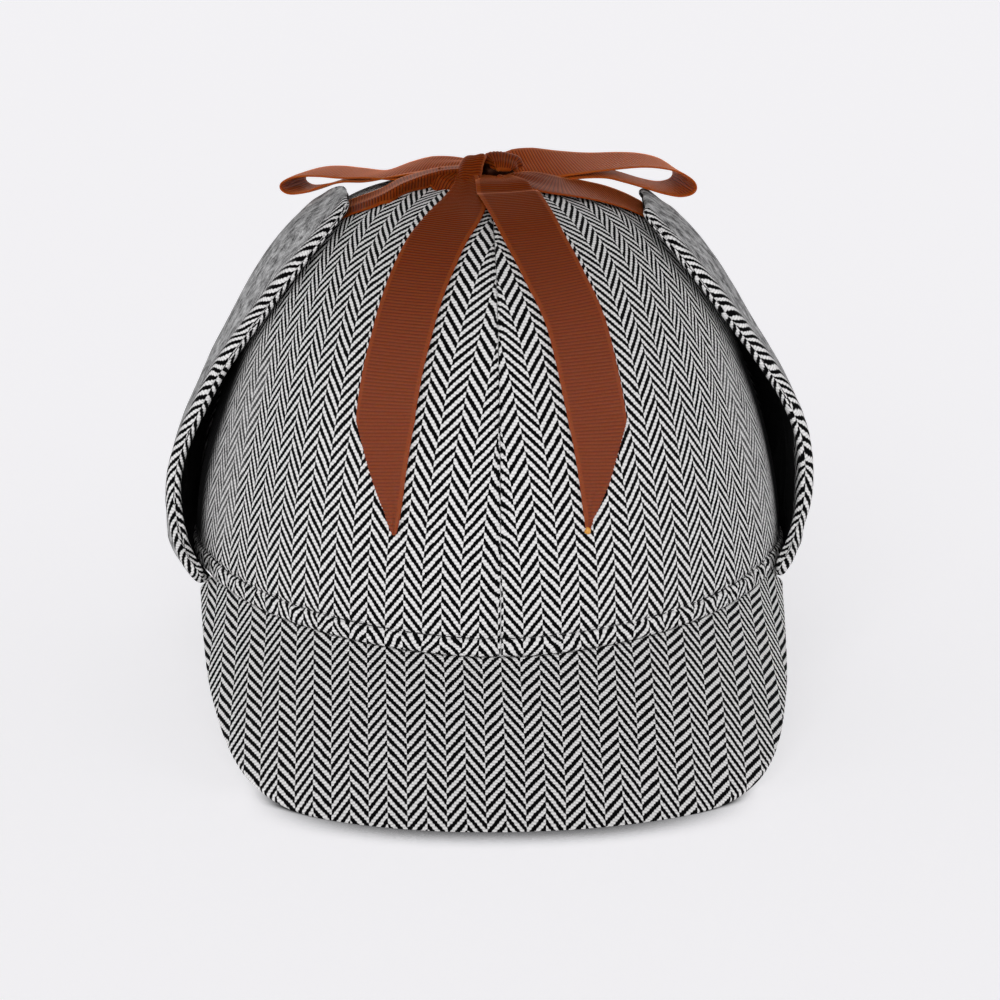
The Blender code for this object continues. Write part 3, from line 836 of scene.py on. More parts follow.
def carry(piece: Piece) -> None:
    """Let a piece ride on the hat's one body.

    Args:
        piece: The piece.
    """
    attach(piece, ROOT)
    LOG.info("%s: %d faces", piece.name, len(piece.data.polygons))


def register(piece: Piece, node: str) -> None:
    """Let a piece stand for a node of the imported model.

    Args:
        piece: The piece.
        node: Node that it replaces.
    """
    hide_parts(node)
    carry(piece)


# ---------------------------------------------------------------- crown


@dataclass(frozen=True)
class Dome:
    """Smooth form under the crown's cloth.

    Attributes:
        half_width: Half width at the foot.
        side_press: How far the flaps press the sides in.
        half_length: Half length at the foot.
        top: Height of the top.
        foot: Height below which the sides stand upright.
        fullness: Power of the superellipse.
    """

    half_width: float = 91 * MM
    side_press: float = 6 * MM
    half_length: float = 100 * MM
    top: float = 162 * MM
    foot: float = 46 * MM
    fullness: float = 2.5

    def rise(self, height: np.ndarray) -> np.ndarray:
        """Share of the way from the foot to the top."""
        return np.clip((height - self.foot) / (self.top - self.foot), 0, 1)

    def plan_share(self, height: np.ndarray) -> np.ndarray:
        """Size of the plan at a height, as a share of its size at the foot."""
        return np.clip(1 - self.rise(height) ** self.fullness, 0, 1) ** (1 / self.fullness)

    def half_width_at(self, height: np.ndarray) -> np.ndarray:
        """Half width of the full plan at a height."""
        rise = self.rise(height)
        return self.half_width - self.side_press * 27 / 4 * rise**2 * (1 - rise)

    def level(self, points: np.ndarray) -> np.ndarray:
        """Level of the dome's field: 1 on its face, less inside.

        Args:
            points: Points.

        Returns:
            Levels.
        """
        height = points[..., 2]
        plan = np.hypot(points[..., 0] / self.half_width_at(height), points[..., 1] / self.half_length)
        rise = np.maximum(height - self.foot, 0) / (self.top - self.foot)
        return plan**self.fullness + rise**self.fullness

    def normals(self, points: np.ndarray) -> np.ndarray:
        """Unit directions straight out of the dome.

        Args:
            points: Points on or near it.

        Returns:
            Directions.
        """
        step = 0.01 * MM
        slopes = []
        for axis in range(3):
            nudge = np.zeros(3)
            nudge[axis] = step
            slopes.append(self.level(points + nudge) - self.level(points - nudge))
        return unit(np.stack(slopes, axis=-1))

    def height_over(self, x: np.ndarray, y: np.ndarray) -> np.ndarray:
        """Height of the dome over points of its plan, found by halving.

        Args:
            x: Places to the right.
            y: Places to the back.

        Returns:
            Heights.
        """
        low = np.full(np.shape(x), self.foot)
        high = np.full(np.shape(x), self.top)
        for _ in range(40):
            middle = (low + high) / 2
            inside = self.level(np.stack((x, y, middle), axis=-1)) < 1
            low = np.where(inside, middle, low)
            high = np.where(inside, high, middle)
        return low

    def lifted(self, points: np.ndarray, lift: np.ndarray | float) -> np.ndarray:
        """Move points straight out of the dome by a lift."""
        return points + self.normals(points) * np.asarray(lift)[..., None]

    def at(self, azimuth: np.ndarray, height: np.ndarray, lift: np.ndarray | float) -> np.ndarray:
        """Points of the dome at an azimuth and a height, moved out by a lift.

        Args:
            azimuth: Azimuths.
            height: Heights.
            lift: Lifts.

        Returns:
            Points.
        """
        share = self.plan_share(height)
        x = self.half_width_at(height) * share * np.sin(azimuth)
        y = -self.half_length * share * np.cos(azimuth)
        return self.lifted(np.stack((x, y, height), axis=-1), lift)

    def front_point(self, x: np.ndarray, climb: np.ndarray) -> np.ndarray:
        """Points up the front: climb runs from 0 at the foot to a quarter turn on top.

        Args:
            x: Places to the right.
            climb: Climbs.

        Returns:
            Points.
        """
        reach = self.half_length * np.sqrt(1 - (x / self.half_width) ** 2)
        y = -reach * np.cos(climb) ** (2 / self.fullness)
        return np.stack((x, y, self.height_over(x, y)), axis=-1)

    def side_point(self, side: Side, y: np.ndarray, climb: np.ndarray) -> np.ndarray:
        """Points up one side, by the same climb.

        Args:
            side: The side.
            y: Places to the back.
            climb: Climbs.

        Returns:
            Points.
        """
        reach = self.half_width * np.sqrt(1 - (y / self.half_length) ** 2)
        x = side.value * reach * np.cos(climb) ** (2 / self.fullness)
        return np.stack((x, y, self.height_over(x, y)), axis=-1)

    def _seam_heights(self) -> np.ndarray:
        """Heights up the front seam at even steps of the climb."""
        climbs = np.linspace(0, math.pi / 2, 600)
        return self.foot + (self.top - self.foot) * np.sin(climbs) ** (2 / self.fullness)

    def upright_run(self, height: np.ndarray) -> np.ndarray:
        """Length up the cloth from the floor's level to a height, along the front seam.

        Args:
            height: Heights.

        Returns:
            Lengths.
        """
        heights = self._seam_heights()
        reaches = self.half_length * self.plan_share(heights)
        steps = np.hypot(np.diff(heights), np.diff(reaches))
        runs = self.foot + np.concatenate(([0], np.cumsum(steps)))
        return np.where(height < self.foot, height, np.interp(height, heights, runs))

    def height_of_run(self, run: np.ndarray) -> np.ndarray:
        """Height at a length up the cloth."""
        heights = np.concatenate(([0], self._seam_heights()))
        return np.interp(run, self.upright_run(heights), heights)


RIM_LOW = 38 * MM
RIM_RISE = 8 * MM
RIM_LEVEL_DEG = 4
RIM_SLOPE_DEG = 66


def rim_height(azimuth: np.ndarray) -> np.ndarray:
    """Height of the crown's lower edge: low over each peak and higher at the sides.

    Args:
        azimuth: Azimuths.

    Returns:
        Heights.
    """
    from_middle = np.abs(np.degrees(np.arcsin(np.sin(azimuth))))
    slope = np.clip((from_middle - RIM_LEVEL_DEG) / RIM_SLOPE_DEG, 0, 1)
    return RIM_LOW + slope**1.25 * RIM_RISE


class Dent(NamedTuple):
    """A low relief: its depth, where it is deepest, and how far it reaches to both sides."""

    depth: float
    place: float
    reach: float

    def at(self, place: np.ndarray) -> np.ndarray:
        """Depth at a place."""
        return self.depth * np.exp(-(((place - self.place) / self.reach) ** 2))


@dataclass(frozen=True)
class Crown:
    """Six gores that meet at the top, with a turned and stitched hem.

    Attributes:
        dome: Form under the cloth.
        wall: Thickness of the cloth with its interlining.
        gore_names: Nodes in order of azimuth, from the front seam round by the right.
        side_gores: Numbers of the right and the left gore under the flaps.
        gap: Half the gap between two gores.
        seam_dip: Wide dip along a seam.
        seam_crease: Narrow crease at the seam itself.
        seam_turn: Depth to which a gore's edge turns in.
        seam_radius: Radius of that edge.
        hem_width: Width of the hem.
        hem_puff: How far the hem swells out.
        hem_radius: Radius of its lower edge.
        stitch_line: Groove that the hem's stitches draw.
        pucker: Puckers of the hem between its edge and its stitches.
        wrinkle: Depth of the soft wrinkles over the whole crown.
        flap_hollow: Hollow in front of each flap, over degrees from the front seam.
        flap_hollow_height: Its share at each height.
        step: Spacing of the grid.
        rows_from: Length up the cloth from which the even rows are counted.
        fine_step: Spacing of the grid on the hem.
        fine_length: Length of cloth that the hem's rows are spaced over.
        fine_end: Length at which they end.
        weave_shift_mm: Shift that puts a column's border at the foot of each seam.
    """

    dome: Dome
    wall: float = 2.5 * MM
    gore_names: tuple[str, ...] = (
        "crown_panel_front_right",
        "crown_panel_side_right",
        "crown_panel_back_right",
        "crown_panel_back_left",
        "crown_panel_side_left",
        "crown_panel_front_left",
    )
    side_gores: tuple[int, int] = (1, 4)
    gap: float = 0.08 * MM
    seam_dip: Dent = Dent(0.55 * MM, 0, 6 * MM)
    seam_crease: Dent = Dent(0.6 * MM, 0, 1.1 * MM)
    seam_turn: float = 0.45 * MM
    seam_radius: float = 0.5 * MM
    hem_width: float = 5.4 * MM
    hem_puff: float = 0.75 * MM
    hem_radius: float = 1.0 * MM
    stitch_line: Dent = Dent(0.55 * MM, 5.6 * MM, 0.55 * MM)
    pucker: Dent = Dent(0.34 * MM, 4 * MM, 3.2 * MM)
    wrinkle: float = 0.32 * MM
    flap_hollow: Dent = Dent(0.9 * MM, 58, 6)
    flap_hollow_height: Dent = Dent(1, 88 * MM, 26 * MM)
    step: float = 1.25 * MM
    rows_from: float = 50 * MM
    fine_step: float = 0.5 * MM
    fine_length: float = 9 * MM
    fine_end: float = 8.2 * MM
    weave_shift_mm: float = 2.75

    def build(self, tweed: Material, covered: Material) -> None:
        """Build the gores, one piece each.

        Args:
            tweed: Finish of the cloth.
            covered: Finish of the side gores, greyer in front of the flaps and darkened with painted
                shadow under them.
        """
        for number, name in enumerate(self.gore_names):
            shell, flat, area = self._gore(number)
            finish = covered if number in self.side_gores else tweed
            piece = add_piece(f"{name}_cloth", shell_mesh(name, [shell]), finish)
            register(piece, name)

    def _gore(self, number: int) -> tuple[Shell, tuple[float, float], float]:
        """Grids of one gore, its widest and longest runs of cloth, and its area.

        Args:
            number: Number of the gore.

        Returns:
            The shell, the two runs and the area.
        """
        dome = self.dome
        gore = math.tau / len(self.gore_names)
        start = number * gore
        width = dome.half_length * gore
        across = spaced(width, self.step, self.seam_radius, arcs=3) / width
        rim_run = dome.upright_run(rim_height(start + gore * across))[None, :]
        runs = self._runs(rim_run)
        height = dome.height_of_run(runs)
        plan = dome.plan_share(height)
        margin = self.gap / np.maximum(dome.half_width * plan, 0.6 * MM)
        azimuth = start + margin + (gore - 2 * margin) * across[None, :]
        from_rim = runs - rim_run
        outer = dome.at(azimuth, height, self._relief(azimuth, height, from_rim, number))
        inner = dome.at(azimuth, height, -self.wall)
        # The side gores carry the front gores' columns on round to the flaps.
        right, left = self.side_gores
        centre = start + gore / 2 + {right: -gore, left: gore}.get(number, 0)
        reach = np.hypot(dome.half_width_at(height) * np.cos(azimuth), dome.half_length * np.sin(azimuth))
        from_centre = (azimuth - centre) * reach * plan
        weave = self._weave(from_centre, runs, from_rim, azimuth, number)
        edges = np.linalg.norm(np.diff(outer, axis=1), axis=2)
        rises = np.linalg.norm(np.diff(outer, axis=0), axis=2)
        area = float(np.sum(edges[:-1] * rises[:, :-1]))
        flat = (float(edges.sum(axis=1).max()), float(rises.sum(axis=0).max()))
        finish = self._under_flap(outer) if number in self.side_gores else None
        return Shell(outer, inner, weave, weave + 1.3, finish, finish), flat, area

    def _runs(self, rim_run: np.ndarray) -> np.ndarray:
        """Lengths up the cloth of a gore's rows: close together on the hem, then even to the top.

        Args:
            rim_run: Length up the cloth of the lower edge, for each column.

        Returns:
            Rows by columns of lengths.
        """
        top_run = float(self.dome.upright_run(np.array(self.dome.top - 0.0001 * MM)))
        # The rounding at the far end of the fine rows is left out, and one row closes them.
        fine = spaced(self.fine_length, self.fine_step, self.hem_radius)[:-5]
        low = rim_run + np.append(fine, self.fine_end)[:, None]
        count = int((top_run - self.rows_from) / self.step)
        shares = np.linspace(0, 1, count + 1)[1:, None]
        return np.concatenate((low, low[-1:] + (top_run - low[-1:]) * shares))

    @staticmethod
    def _under_flap(points: np.ndarray) -> np.ndarray:
        """Shares of greying and of painted shadow on the cloth that a flap covers.

        Args:
            points: Grid of points.

        Returns:
            Grid of two shares.
        """
        y = points[..., 1] / MM
        z = points[..., 2] / MM
        low = smoothstep((z - 44) / 12) * smoothstep((122 - z) / 16)
        # Painted shadow: the cloth under a flap goes near black.
        dark = smoothstep((y + 31) / 12) * smoothstep((42 - y) / 8) * low
        # In front of it the weave turns greyer.
        greyed = 0.26 * smoothstep((y + 54) / 12) * smoothstep((z - 52) / 14) * low
        return np.stack((greyed, dark), axis=-1)

    def _weave(
        self,
        from_centre: np.ndarray,
        runs: np.ndarray,
        from_rim: np.ndarray,
        azimuth: np.ndarray,
        number: int,
    ) -> np.ndarray:
        """Weave coordinates in millimetres, drawn askew by the hem's stitches and the seams.

        Args:
            from_centre: Distance round the crown from the gore's centre line.
            runs: Length up the cloth.
            from_rim: Length up the cloth from its lower edge.
            azimuth: Azimuth of each point.
            number: Number of the gore.

        Returns:
            The coordinates.
        """
        gore = math.tau / len(self.gore_names)
        along = azimuth * self.dome.half_length
        in_hem = np.clip(1 - ((from_rim - 2.5 * MM) / (3.4 * MM)) ** 4, 0, 1)
        plan = self.dome.plan_share(self.dome.height_of_run(runs))
        from_seam = (gore / 2 - np.abs(azimuth - (number + 0.5) * gore)) * self.dome.half_length * plan
        at_seam = np.exp(-((from_seam / (1.8 * MM)) ** 2))
        skew = level_wave(along, from_rim, 8.5 * MM, 0.7 + number)
        slip = level_wave(along, from_rim, 7.0 * MM, 2.9 + number)
        jog = level_wave(runs, from_centre, 5.5 * MM, 1.9 + number) * self._seam_share(azimuth)
        across = from_centre + MM * (0.5 * skew * in_hem + 0.4 * jog * at_seam)
        up = runs + MM * (0.55 * slip * in_hem + 0.5 * jog * at_seam)
        return np.stack((across / MM + self.weave_shift_mm, up / MM), axis=-1)

    @staticmethod
    def _seam_share(azimuth: np.ndarray) -> np.ndarray:
        """How far a seam shows: hardly where two gores are matched beside the flaps."""
        turned = np.degrees(np.arccos(np.clip(np.cos(azimuth), -1, 1)))
        return np.where((turned > 35) & (turned < 85), 0.08, 1.0)

    def _relief(
        self, azimuth: np.ndarray, height: np.ndarray, from_rim: np.ndarray, number: int
    ) -> np.ndarray:
        """Lift of the cloth off the dome.

        Args:
            azimuth: Azimuth of each point.
            height: Height of each point.
            from_rim: Length up the cloth from its lower edge.
            number: Number of the gore.

        Returns:
            The lift.
        """
        gore = math.tau / len(self.gore_names)
        plan = self.dome.plan_share(height)
        from_seam = np.abs((azimuth + gore / 2) % gore - gore / 2) * self.dome.half_length * plan
        fade = np.minimum(3 * plan, 1)
        seam = self._seam_share(azimuth)
        lift = -fade * seam * (self.seam_dip.at(from_seam) + self.seam_crease.at(from_seam))
        lift = lift - self.seam_turn * seam * (1 - rounding(from_seam, self.seam_radius))
        # The hem swells between its edge and its stitching, and puckers along the stitches.
        across_hem = (from_rim - self.hem_width / 2) / (self.hem_width / 2 + 0.3 * MM)
        lift = lift + self.hem_puff * np.clip(1 - across_hem**4, 0, 1) - self.stitch_line.at(from_rim)
        along = azimuth * self.dome.half_length
        pucker = level_wave(along, from_rim * 0.3, 4.2 * MM, 1.3 + number)
        lift = lift + pucker * self.pucker.at(from_rim)
        lift = lift - self.hem_radius * (1 - rounding(from_rim, self.hem_radius))
        soft = level_wave(along, height * 0.55, 34 * MM, 4.1 + number)
        calm = smoothstep(from_rim / (14 * MM)) * smoothstep(from_seam / (9 * MM)) * fade
        lift = lift + self.wrinkle * soft * calm
        from_middle = np.degrees(np.arcsin(np.clip(np.abs(np.sin(azimuth)), 0, 1)))
        hollow = self.flap_hollow.at(from_middle) * self.flap_hollow_height.at(height)
        return lift - np.where(np.cos(azimuth) > 0, hollow, 0)


# ---------------------------------------------------------------- peaks


class PeakStation(NamedTuple):
    """Half of a peak's outer edge, in millimetres, and the azimuth of the rim it is cut to."""

    rim_azimuth_deg: float
    x: float
    y: float
    z: float
    fuller_right: float


@dataclass(frozen=True)
class Peak:
    """A stiffened peak of two layers of cloth with a turned edge.

    Attributes:
        dome: Form of the crown that it joins.
        stations: Half of its outer edge.
        thickness: Thickness of the two layers with the stiffener.
        swell: How far the middle of a peak of the nominal depth swells above a straight line.
        swell_depth: That nominal depth.
        tuck: How far its inner edge goes under the crown.
        edge_length: Length of its outer edge, which sets the grid.
        row_length: Length that a row counts as, for the rounding of its ends.
        depth: Depth of its middle, which sets the grid.
    """

    dome: Dome
    stations: tuple[PeakStation, ...] = (
        PeakStation(0.0, 0.0, -143.0, -0.6, 0),
        PeakStation(9.3, 18.0, -141.6, -0.6, 0),
        PeakStation(18.5, 35.0, -137.3, -0.6, 0.3),
        PeakStation(27.0, 50.5, -130.2, -0.4, 1.0),
        PeakStation(33.5, 61.4, -121.6, 1.0, 2.0),
        PeakStation(38.5, 69.2, -113.6, 3.2, 2.6),
        PeakStation(43.0, 75.3, -104.4, 6.6, 2.8),
        PeakStation(48.0, 80.2, -92.5, 12.0, 2.4),
        PeakStation(53.5, 84.1, -77.5, 19.0, 1.6),
        PeakStation(57.5, 86.2, -66.0, 24.8, 0.9),
        PeakStation(62.5, 88.0, -49.5, 32.8, 0.3),
        PeakStation(66.5, 88.9, -38.5, 38.6, 0),
        PeakStation(69.4, 89.3, -34.0, 42.0, 0),
    )
    thickness: float = 3 * MM
    swell: float = 1.3 * MM
    swell_depth: float = 60 * MM
    tuck: float = 2.2 * MM
    edge_length: float = 286 * MM
    row_length: float = 290 * MM
    depth: float = 55 * MM

    def build(self, name: str, turn: int, tweed: Material) -> None:
        """Build a peak.

        Args:
            name: Node that it stands for.
            turn: 1 at the front, -1 where it is turned round to the back.
            tweed: Finish of the cloth.
        """
        upper = self._upper_face()
        normals = grid_normals(upper)
        lengths = run_lengths(upper, 0, 0)
        spans = run_lengths(upper, 1, 0)
        total = np.maximum(spans[:, -1:], MM)
        from_end = np.minimum(spans, spans[:, -1:] - spans) / total * self.row_length
        radius = self.thickness / 2
        share = rounding(lengths, radius) * rounding(from_end, radius)
        middle = upper - normals * radius
        half = normals * (radius * share)[..., None]
        outer = middle + half
        inner = middle - half
        for face in (outer, inner):
            face[..., 2] = np.maximum(face[..., 2], 0.02 * MM)
        weave = self._weave(outer)
        turned = np.array((turn, turn, 1))
        shell = Shell(outer * turned, inner * turned, weave, weave * np.array((1, -1)))
        register(add_piece(f"{name}_cloth", shell_mesh(name, [shell]), tweed), name)

    def _upper_face(self) -> np.ndarray:
        """Grid of the upper face, from the outer edge to the strip under the crown's edge."""
        edge_steps = spaced(self.edge_length, 1.3 * MM, 0.6 * MM, arcs=2) / self.edge_length
        shares = 2 * edge_steps - 1
        sign = np.sign(shares)
        half = PeakStation(*smooth_through(np.array(self.stations), np.abs(shares)).T)
        edge = np.stack((half.x * sign, half.y, half.z), axis=-1) * MM
        fuller = np.where(shares > 0, half.fuller_right, 0)[:, None] * MM
        edge = edge + fuller * np.array((0.8, -0.6, 0))
        azimuth = np.radians(half.rim_azimuth_deg) * sign
        height = rim_height(azimuth) - 0.3 * MM
        seat = self.dome.at(azimuth, height, 0.0)
        tucked = self.dome.at(azimuth, height, -self.tuck)
        slope = edge - seat
        along = np.stack((np.cos(azimuth), np.sin(azimuth), np.zeros_like(azimuth)), axis=-1)
        length = np.linalg.norm(slope, axis=1, keepdims=True)
        swell = -unit(np.cross(along, slope)) * self.swell * length / self.swell_depth
        # Each row keeps its distance from the edge on the rounding, whatever the peak's depth.
        steps = spaced(self.depth, 1.2 * MM, self.thickness / 2, arcs=5) / self.depth
        t = 1 - steps[:, None, None]
        face = seat + slope * t + swell * 4 * t * (1 - t)
        inward = np.linspace(0, 1, 3)[1:, None, None]
        return np.concatenate((face, seat + (tucked - seat) * inward))

    def _weave(self, face: np.ndarray) -> np.ndarray:
        """Weave coordinates of a sheet rolled about the peak's own slope.

        Args:
            face: Grid of one face.

        Returns:
            Coordinates in millimetres.
        """
        middle = face.shape[1] // 2
        slope = unit(face[0, middle] - face[-3, middle])
        steps = np.diff(face, axis=1)
        steps = steps - (steps @ slope)[..., None] * slope
        runs = np.cumsum(np.pad(np.linalg.norm(steps, axis=2), ((0, 0), (1, 0))), axis=1)
        across = runs - runs[:, middle : middle + 1]
        down = -(face @ slope)
        return np.stack((across, down + 0.1 * across), axis=-1) / MM


# ---------------------------------------------------------------- ear flaps


class FlapRow(NamedTuple):
    """A row across a flap, in degrees and millimetres."""

    climb_deg: float
    drop: float
    stand_off: float
    flare: float
    tuck: float
    thickness: float
    front: float
    back: float


@dataclass(frozen=True)
class EarFlap:
    """A padded flap of double cloth, folded up at the rim and tied at its tip.

    Attributes:
        dome: Form of the crown that it lies on.
        side: Side of the hat.
        rows: Rows from its seam under the rim, round the fold and up to its tip.
        width: Width that sets the grid.
        step: Spacing of the grid, coarse enough for the padding to settle.
        side_radius: Radius of the front and the back edge.
        seam_radius: Radius of the edge under the rim.
        tip_radius: Radius of the edge at the tip.
        puff: Farthest that the padding may push the cloth out.
        pull: Farthest that it may move towards the crown.
        nap: Share by which brushing hides the weave on its face.
    """

    dome: Dome
    side: Side
    rows: tuple[FlapRow, ...]
    width: float = 68 * MM
    step: float = 2.6 * MM
    side_radius: float = 2.2 * MM
    seam_radius: float = 1.2 * MM
    tip_radius: float = 1.6 * MM
    puff: float = 0.5 * MM
    pull: float = 0.5 * MM
    nap: float = 0.9

    def build(self, name: str, tweed: Material) -> None:
        """Build the flap.

        Args:
            name: Node that it stands for.
            tweed: Finish of the cloth.
        """
        piece = add_piece(f"{name}_cloth", shell_mesh(name, [self._shell()]), tweed)
        self._pad(piece)
        rounder = piece.modifiers.new("rounder", "SUBSURF")
        rounder.levels = 2
        rounder.render_levels = 2
        plain_copy(piece)
        self._sew(piece.data)
        piece.data.shade_smooth()
        register(piece, name)

    def _shell(self) -> Shell:
        """Grids of both faces."""
        table = np.array(self.rows)
        path = self._points(smooth_through(table, np.linspace(0, 1, 500)), np.array([0.0]))[:, 0]
        lengths, shares = spaced_along(path, self.step, self.tip_radius)
        rows = smooth_through(table, shares)
        across = spaced(self.width, self.step, self.side_radius, arcs=3) / self.width * 2 - 1
        middle = self._points(rows, across)
        if self.side is Side.LEFT:
            middle = middle[:, ::-1]
        normals = grid_normals(middle)
        spans = run_lengths(middle, 1, 0)
        from_side = np.minimum(spans, spans[:, -1:] - spans)
        from_seam = lengths[:, None]
        from_tip = lengths[-1] - from_seam
        ends = rounding(from_seam, self.seam_radius) * rounding(from_tip, self.tip_radius)
        # Padding thins in the middle and is fullest in the rolled edge.
        roll = 0.88 + 0.26 * np.exp(-((from_side / (4 * MM) - 0.8) ** 2))
        share = rounding(from_side, self.side_radius) * ends
        half = FlapRow(*rows.T[:, :, None]).thickness * MM / 2 * share
        outer = middle + normals * (half * roll)[..., None]
        inner = middle - normals * (half * 0.96)[..., None]
        nap = self.nap * smoothstep((from_side - 3.2 * MM) / (3 * MM))
        # The inner face turns near black from a little in from its edges: painted shade for the gap
        # between the flap and the crown.
        painted_shade = smoothstep((from_side - 3.4 * MM) / (2 * MM))
        none = np.zeros_like(nap)
        # A column's border runs along the front edge, so the chevrons turn on the roll.
        return Shell(
            outer,
            inner,
            self._weave(outer) / MM,
            self._weave(inner) * np.array((-1, 1)) / MM,
            np.stack((nap, none), axis=-1),
            np.stack((none, painted_shade), axis=-1),
        )

    def _weave(self, face: np.ndarray) -> np.ndarray:
        """Weave coordinates in metres of one face, square to its front edge.

        Args:
            face: Grid of the face.

        Returns:
            The coordinates.
        """
        grid = face if self.side is Side.RIGHT else face[:, ::-1]
        along = unit(np.gradient(grid, axis=0))
        steps = np.diff(grid, axis=1)
        middle = unit(along[:, 1:] + along[:, :-1])
        slips = np.sum(steps * middle, axis=2)
        spans = np.sqrt(np.maximum(np.sum(steps**2, axis=2) - slips**2, 0))
        pad = ((0, 0), (1, 0))
        across = np.cumsum(np.pad(spans, pad), axis=1)
        up = run_lengths(grid[:, :1], 0, 0) + np.cumsum(np.pad(slips, pad), axis=1)
        # The turned seam draws the cloth askew along the rolled edge.
        drawn = np.exp(-((across / (7 * MM)) ** 2)) * MM
        skew = 0.9 * level_wave(up, across, 9 * MM, 3.1 + self.side.value) * drawn
        slip = 1.15 * level_wave(up, across, 7 * MM, 5.3 + self.side.value) * drawn
        weave = np.stack((across + skew, up + slip), axis=-1)
        return weave if self.side is Side.RIGHT else weave[:, ::-1]

    def _points(self, rows: np.ndarray, across: np.ndarray) -> np.ndarray:
        """Points of the flap's middle layer.

        Args:
            rows: Table rows, one for each row of points.
            across: Places from -1 at the front edge to 1 at the back edge.

        Returns:
            Grid of points.
        """
        row = FlapRow(*rows.T[:, :, None])
        place = across[None, :]
        y = (row.front * (1 - place) + row.back * (1 + place)) / 2 * MM
        change = np.where(place < 0, row.flare, -row.tuck)
        stand_off = (row.stand_off + change * place**2) * MM
        climb = np.radians(np.broadcast_to(row.climb_deg, y.shape))
        points = self.dome.lifted(self.dome.side_point(self.side, y, climb), stand_off)
        points[..., 2] -= row.drop * MM
        return points

    def _pad(self, piece: Piece) -> None:
        """Let padding push the two layers apart, and pull the seams in.

        Args:
            piece: The flap.
        """
        mesh = piece.data
        rest = vertex_values(mesh, "co")
        held = piece.vertex_groups.new(name="held")
        low = rest[:, 2] < 50 * MM
        high = rest[:, 2] > rest[:, 2].max() - 6 * MM
        held.add([int(i) for i in np.nonzero(low | high)[0]], 1.0, "REPLACE")
        cloth = piece.modifiers.new("padding", "CLOTH")
        settings = cloth.settings
        settings.quality = 6
        settings.mass = 0.2
        settings.tension_stiffness = 12
        settings.compression_stiffness = 12
        settings.shear_stiffness = 5
        settings.bending_stiffness = 0.3
        settings.vertex_group_mass = held.name
        settings.use_pressure = True
        settings.uniform_pressure_force = 5
        settings.shrink_min = -0.03
        settings.effector_weights.gravity = 0
        cloth.collision_settings.use_collision = False
        scene = bpy.context.scene
        for number in range(1, 13):
            scene.frame_set(number)
        evaluated = piece.evaluated_get(bpy.context.evaluated_depsgraph_get())
        shift = vertex_values(evaluated.data, "co") - rest
        piece.modifiers.remove(cloth)
        scene.frame_set(1)
        outward = np.sum(shift * self.dome.normals(rest), axis=1)
        size = np.linalg.norm(shift, axis=1)
        limit = np.where(outward > 0, self.puff, self.pull)
        scale = np.minimum(1, limit / np.maximum(size, 1e-9))
        move_vertices(mesh, rest + shift * scale[:, None])
        LOG.info("%s: padding moved up to %.1f mm", piece.name, size.max() / MM)

    def _sew(self, mesh: Mesh) -> None:
        """Draw the seam line in along the middle of the rolled edge, with its puckers.

        Args:
            mesh: The flap's mesh.
        """
        points = vertex_values(mesh, "co")
        normals = vertex_values(mesh, "normal")
        # On the middle of the edge the cloth faces along the crown, neither off it nor at it.
        facing = np.sum(normals * self.dome.normals(points), axis=1)
        edge = np.exp(-((facing / 0.26) ** 2))
        roll = np.exp(-((facing / 0.75) ** 2))
        wave = level_wave(points[:, 1] + points[:, 0], points[:, 2], 9 * MM, 2.2 + self.side.value)
        shift = -0.3 * MM * edge + 0.35 * MM * wave * roll
        move_vertices(mesh, points + normals * shift[:, None])


FLAP_LEFT_ROWS = (
    FlapRow(0, 1.5, -1.0, 0, 0, 2.0, -34, 33),
    FlapRow(0, 1.7, 1.8, 0, 0, 2.4, -35.5, 34),
    FlapRow(0, 0.2, 4.3, 0, 0, 3.4, -38.5, 35),
    FlapRow(0, -3.2, 6.0, 0.4, 1, 4.5, -40, 36),
    FlapRow(5.5, 0, 7.0, 1.2, 3, 4.5, -31, 35),
    FlapRow(11.3, 0, 7.6, 1.8, 4, 4.5, -24, 32),
    FlapRow(16.5, 0, 7.6, 2.0, 4.2, 4.5, -22, 31),
    FlapRow(22, 0, 6.8, 1.8, 3.6, 4.5, -23, 31),
    FlapRow(27.5, 0, 5.3, 1.6, 2.2, 4.5, -24, 31),
    FlapRow(33, 0, 4.3, 1.3, 1.4, 4.5, -26, 32),
    FlapRow(38.4, 0, 3.2, 1.2, 0.5, 4.5, -29, 33),
    FlapRow(44, 0, 2.8, 1.2, 0, 4.5, -33, 33),
    FlapRow(50, 0, 2.8, 1.2, 0, 4.3, -35, 31),
    FlapRow(56, 0, 2.9, 1.0, 0, 3.8, -35, 26),
    FlapRow(61.5, 0, 3.3, 0.6, 0.3, 3.2, -32, 17),
    FlapRow(65.5, 0, 3.8, 0.3, 0.3, 3.0, -27, 8),
    FlapRow(68.2, 0, 4.0, 0, 0.2, 3.0, -20, -2),
)
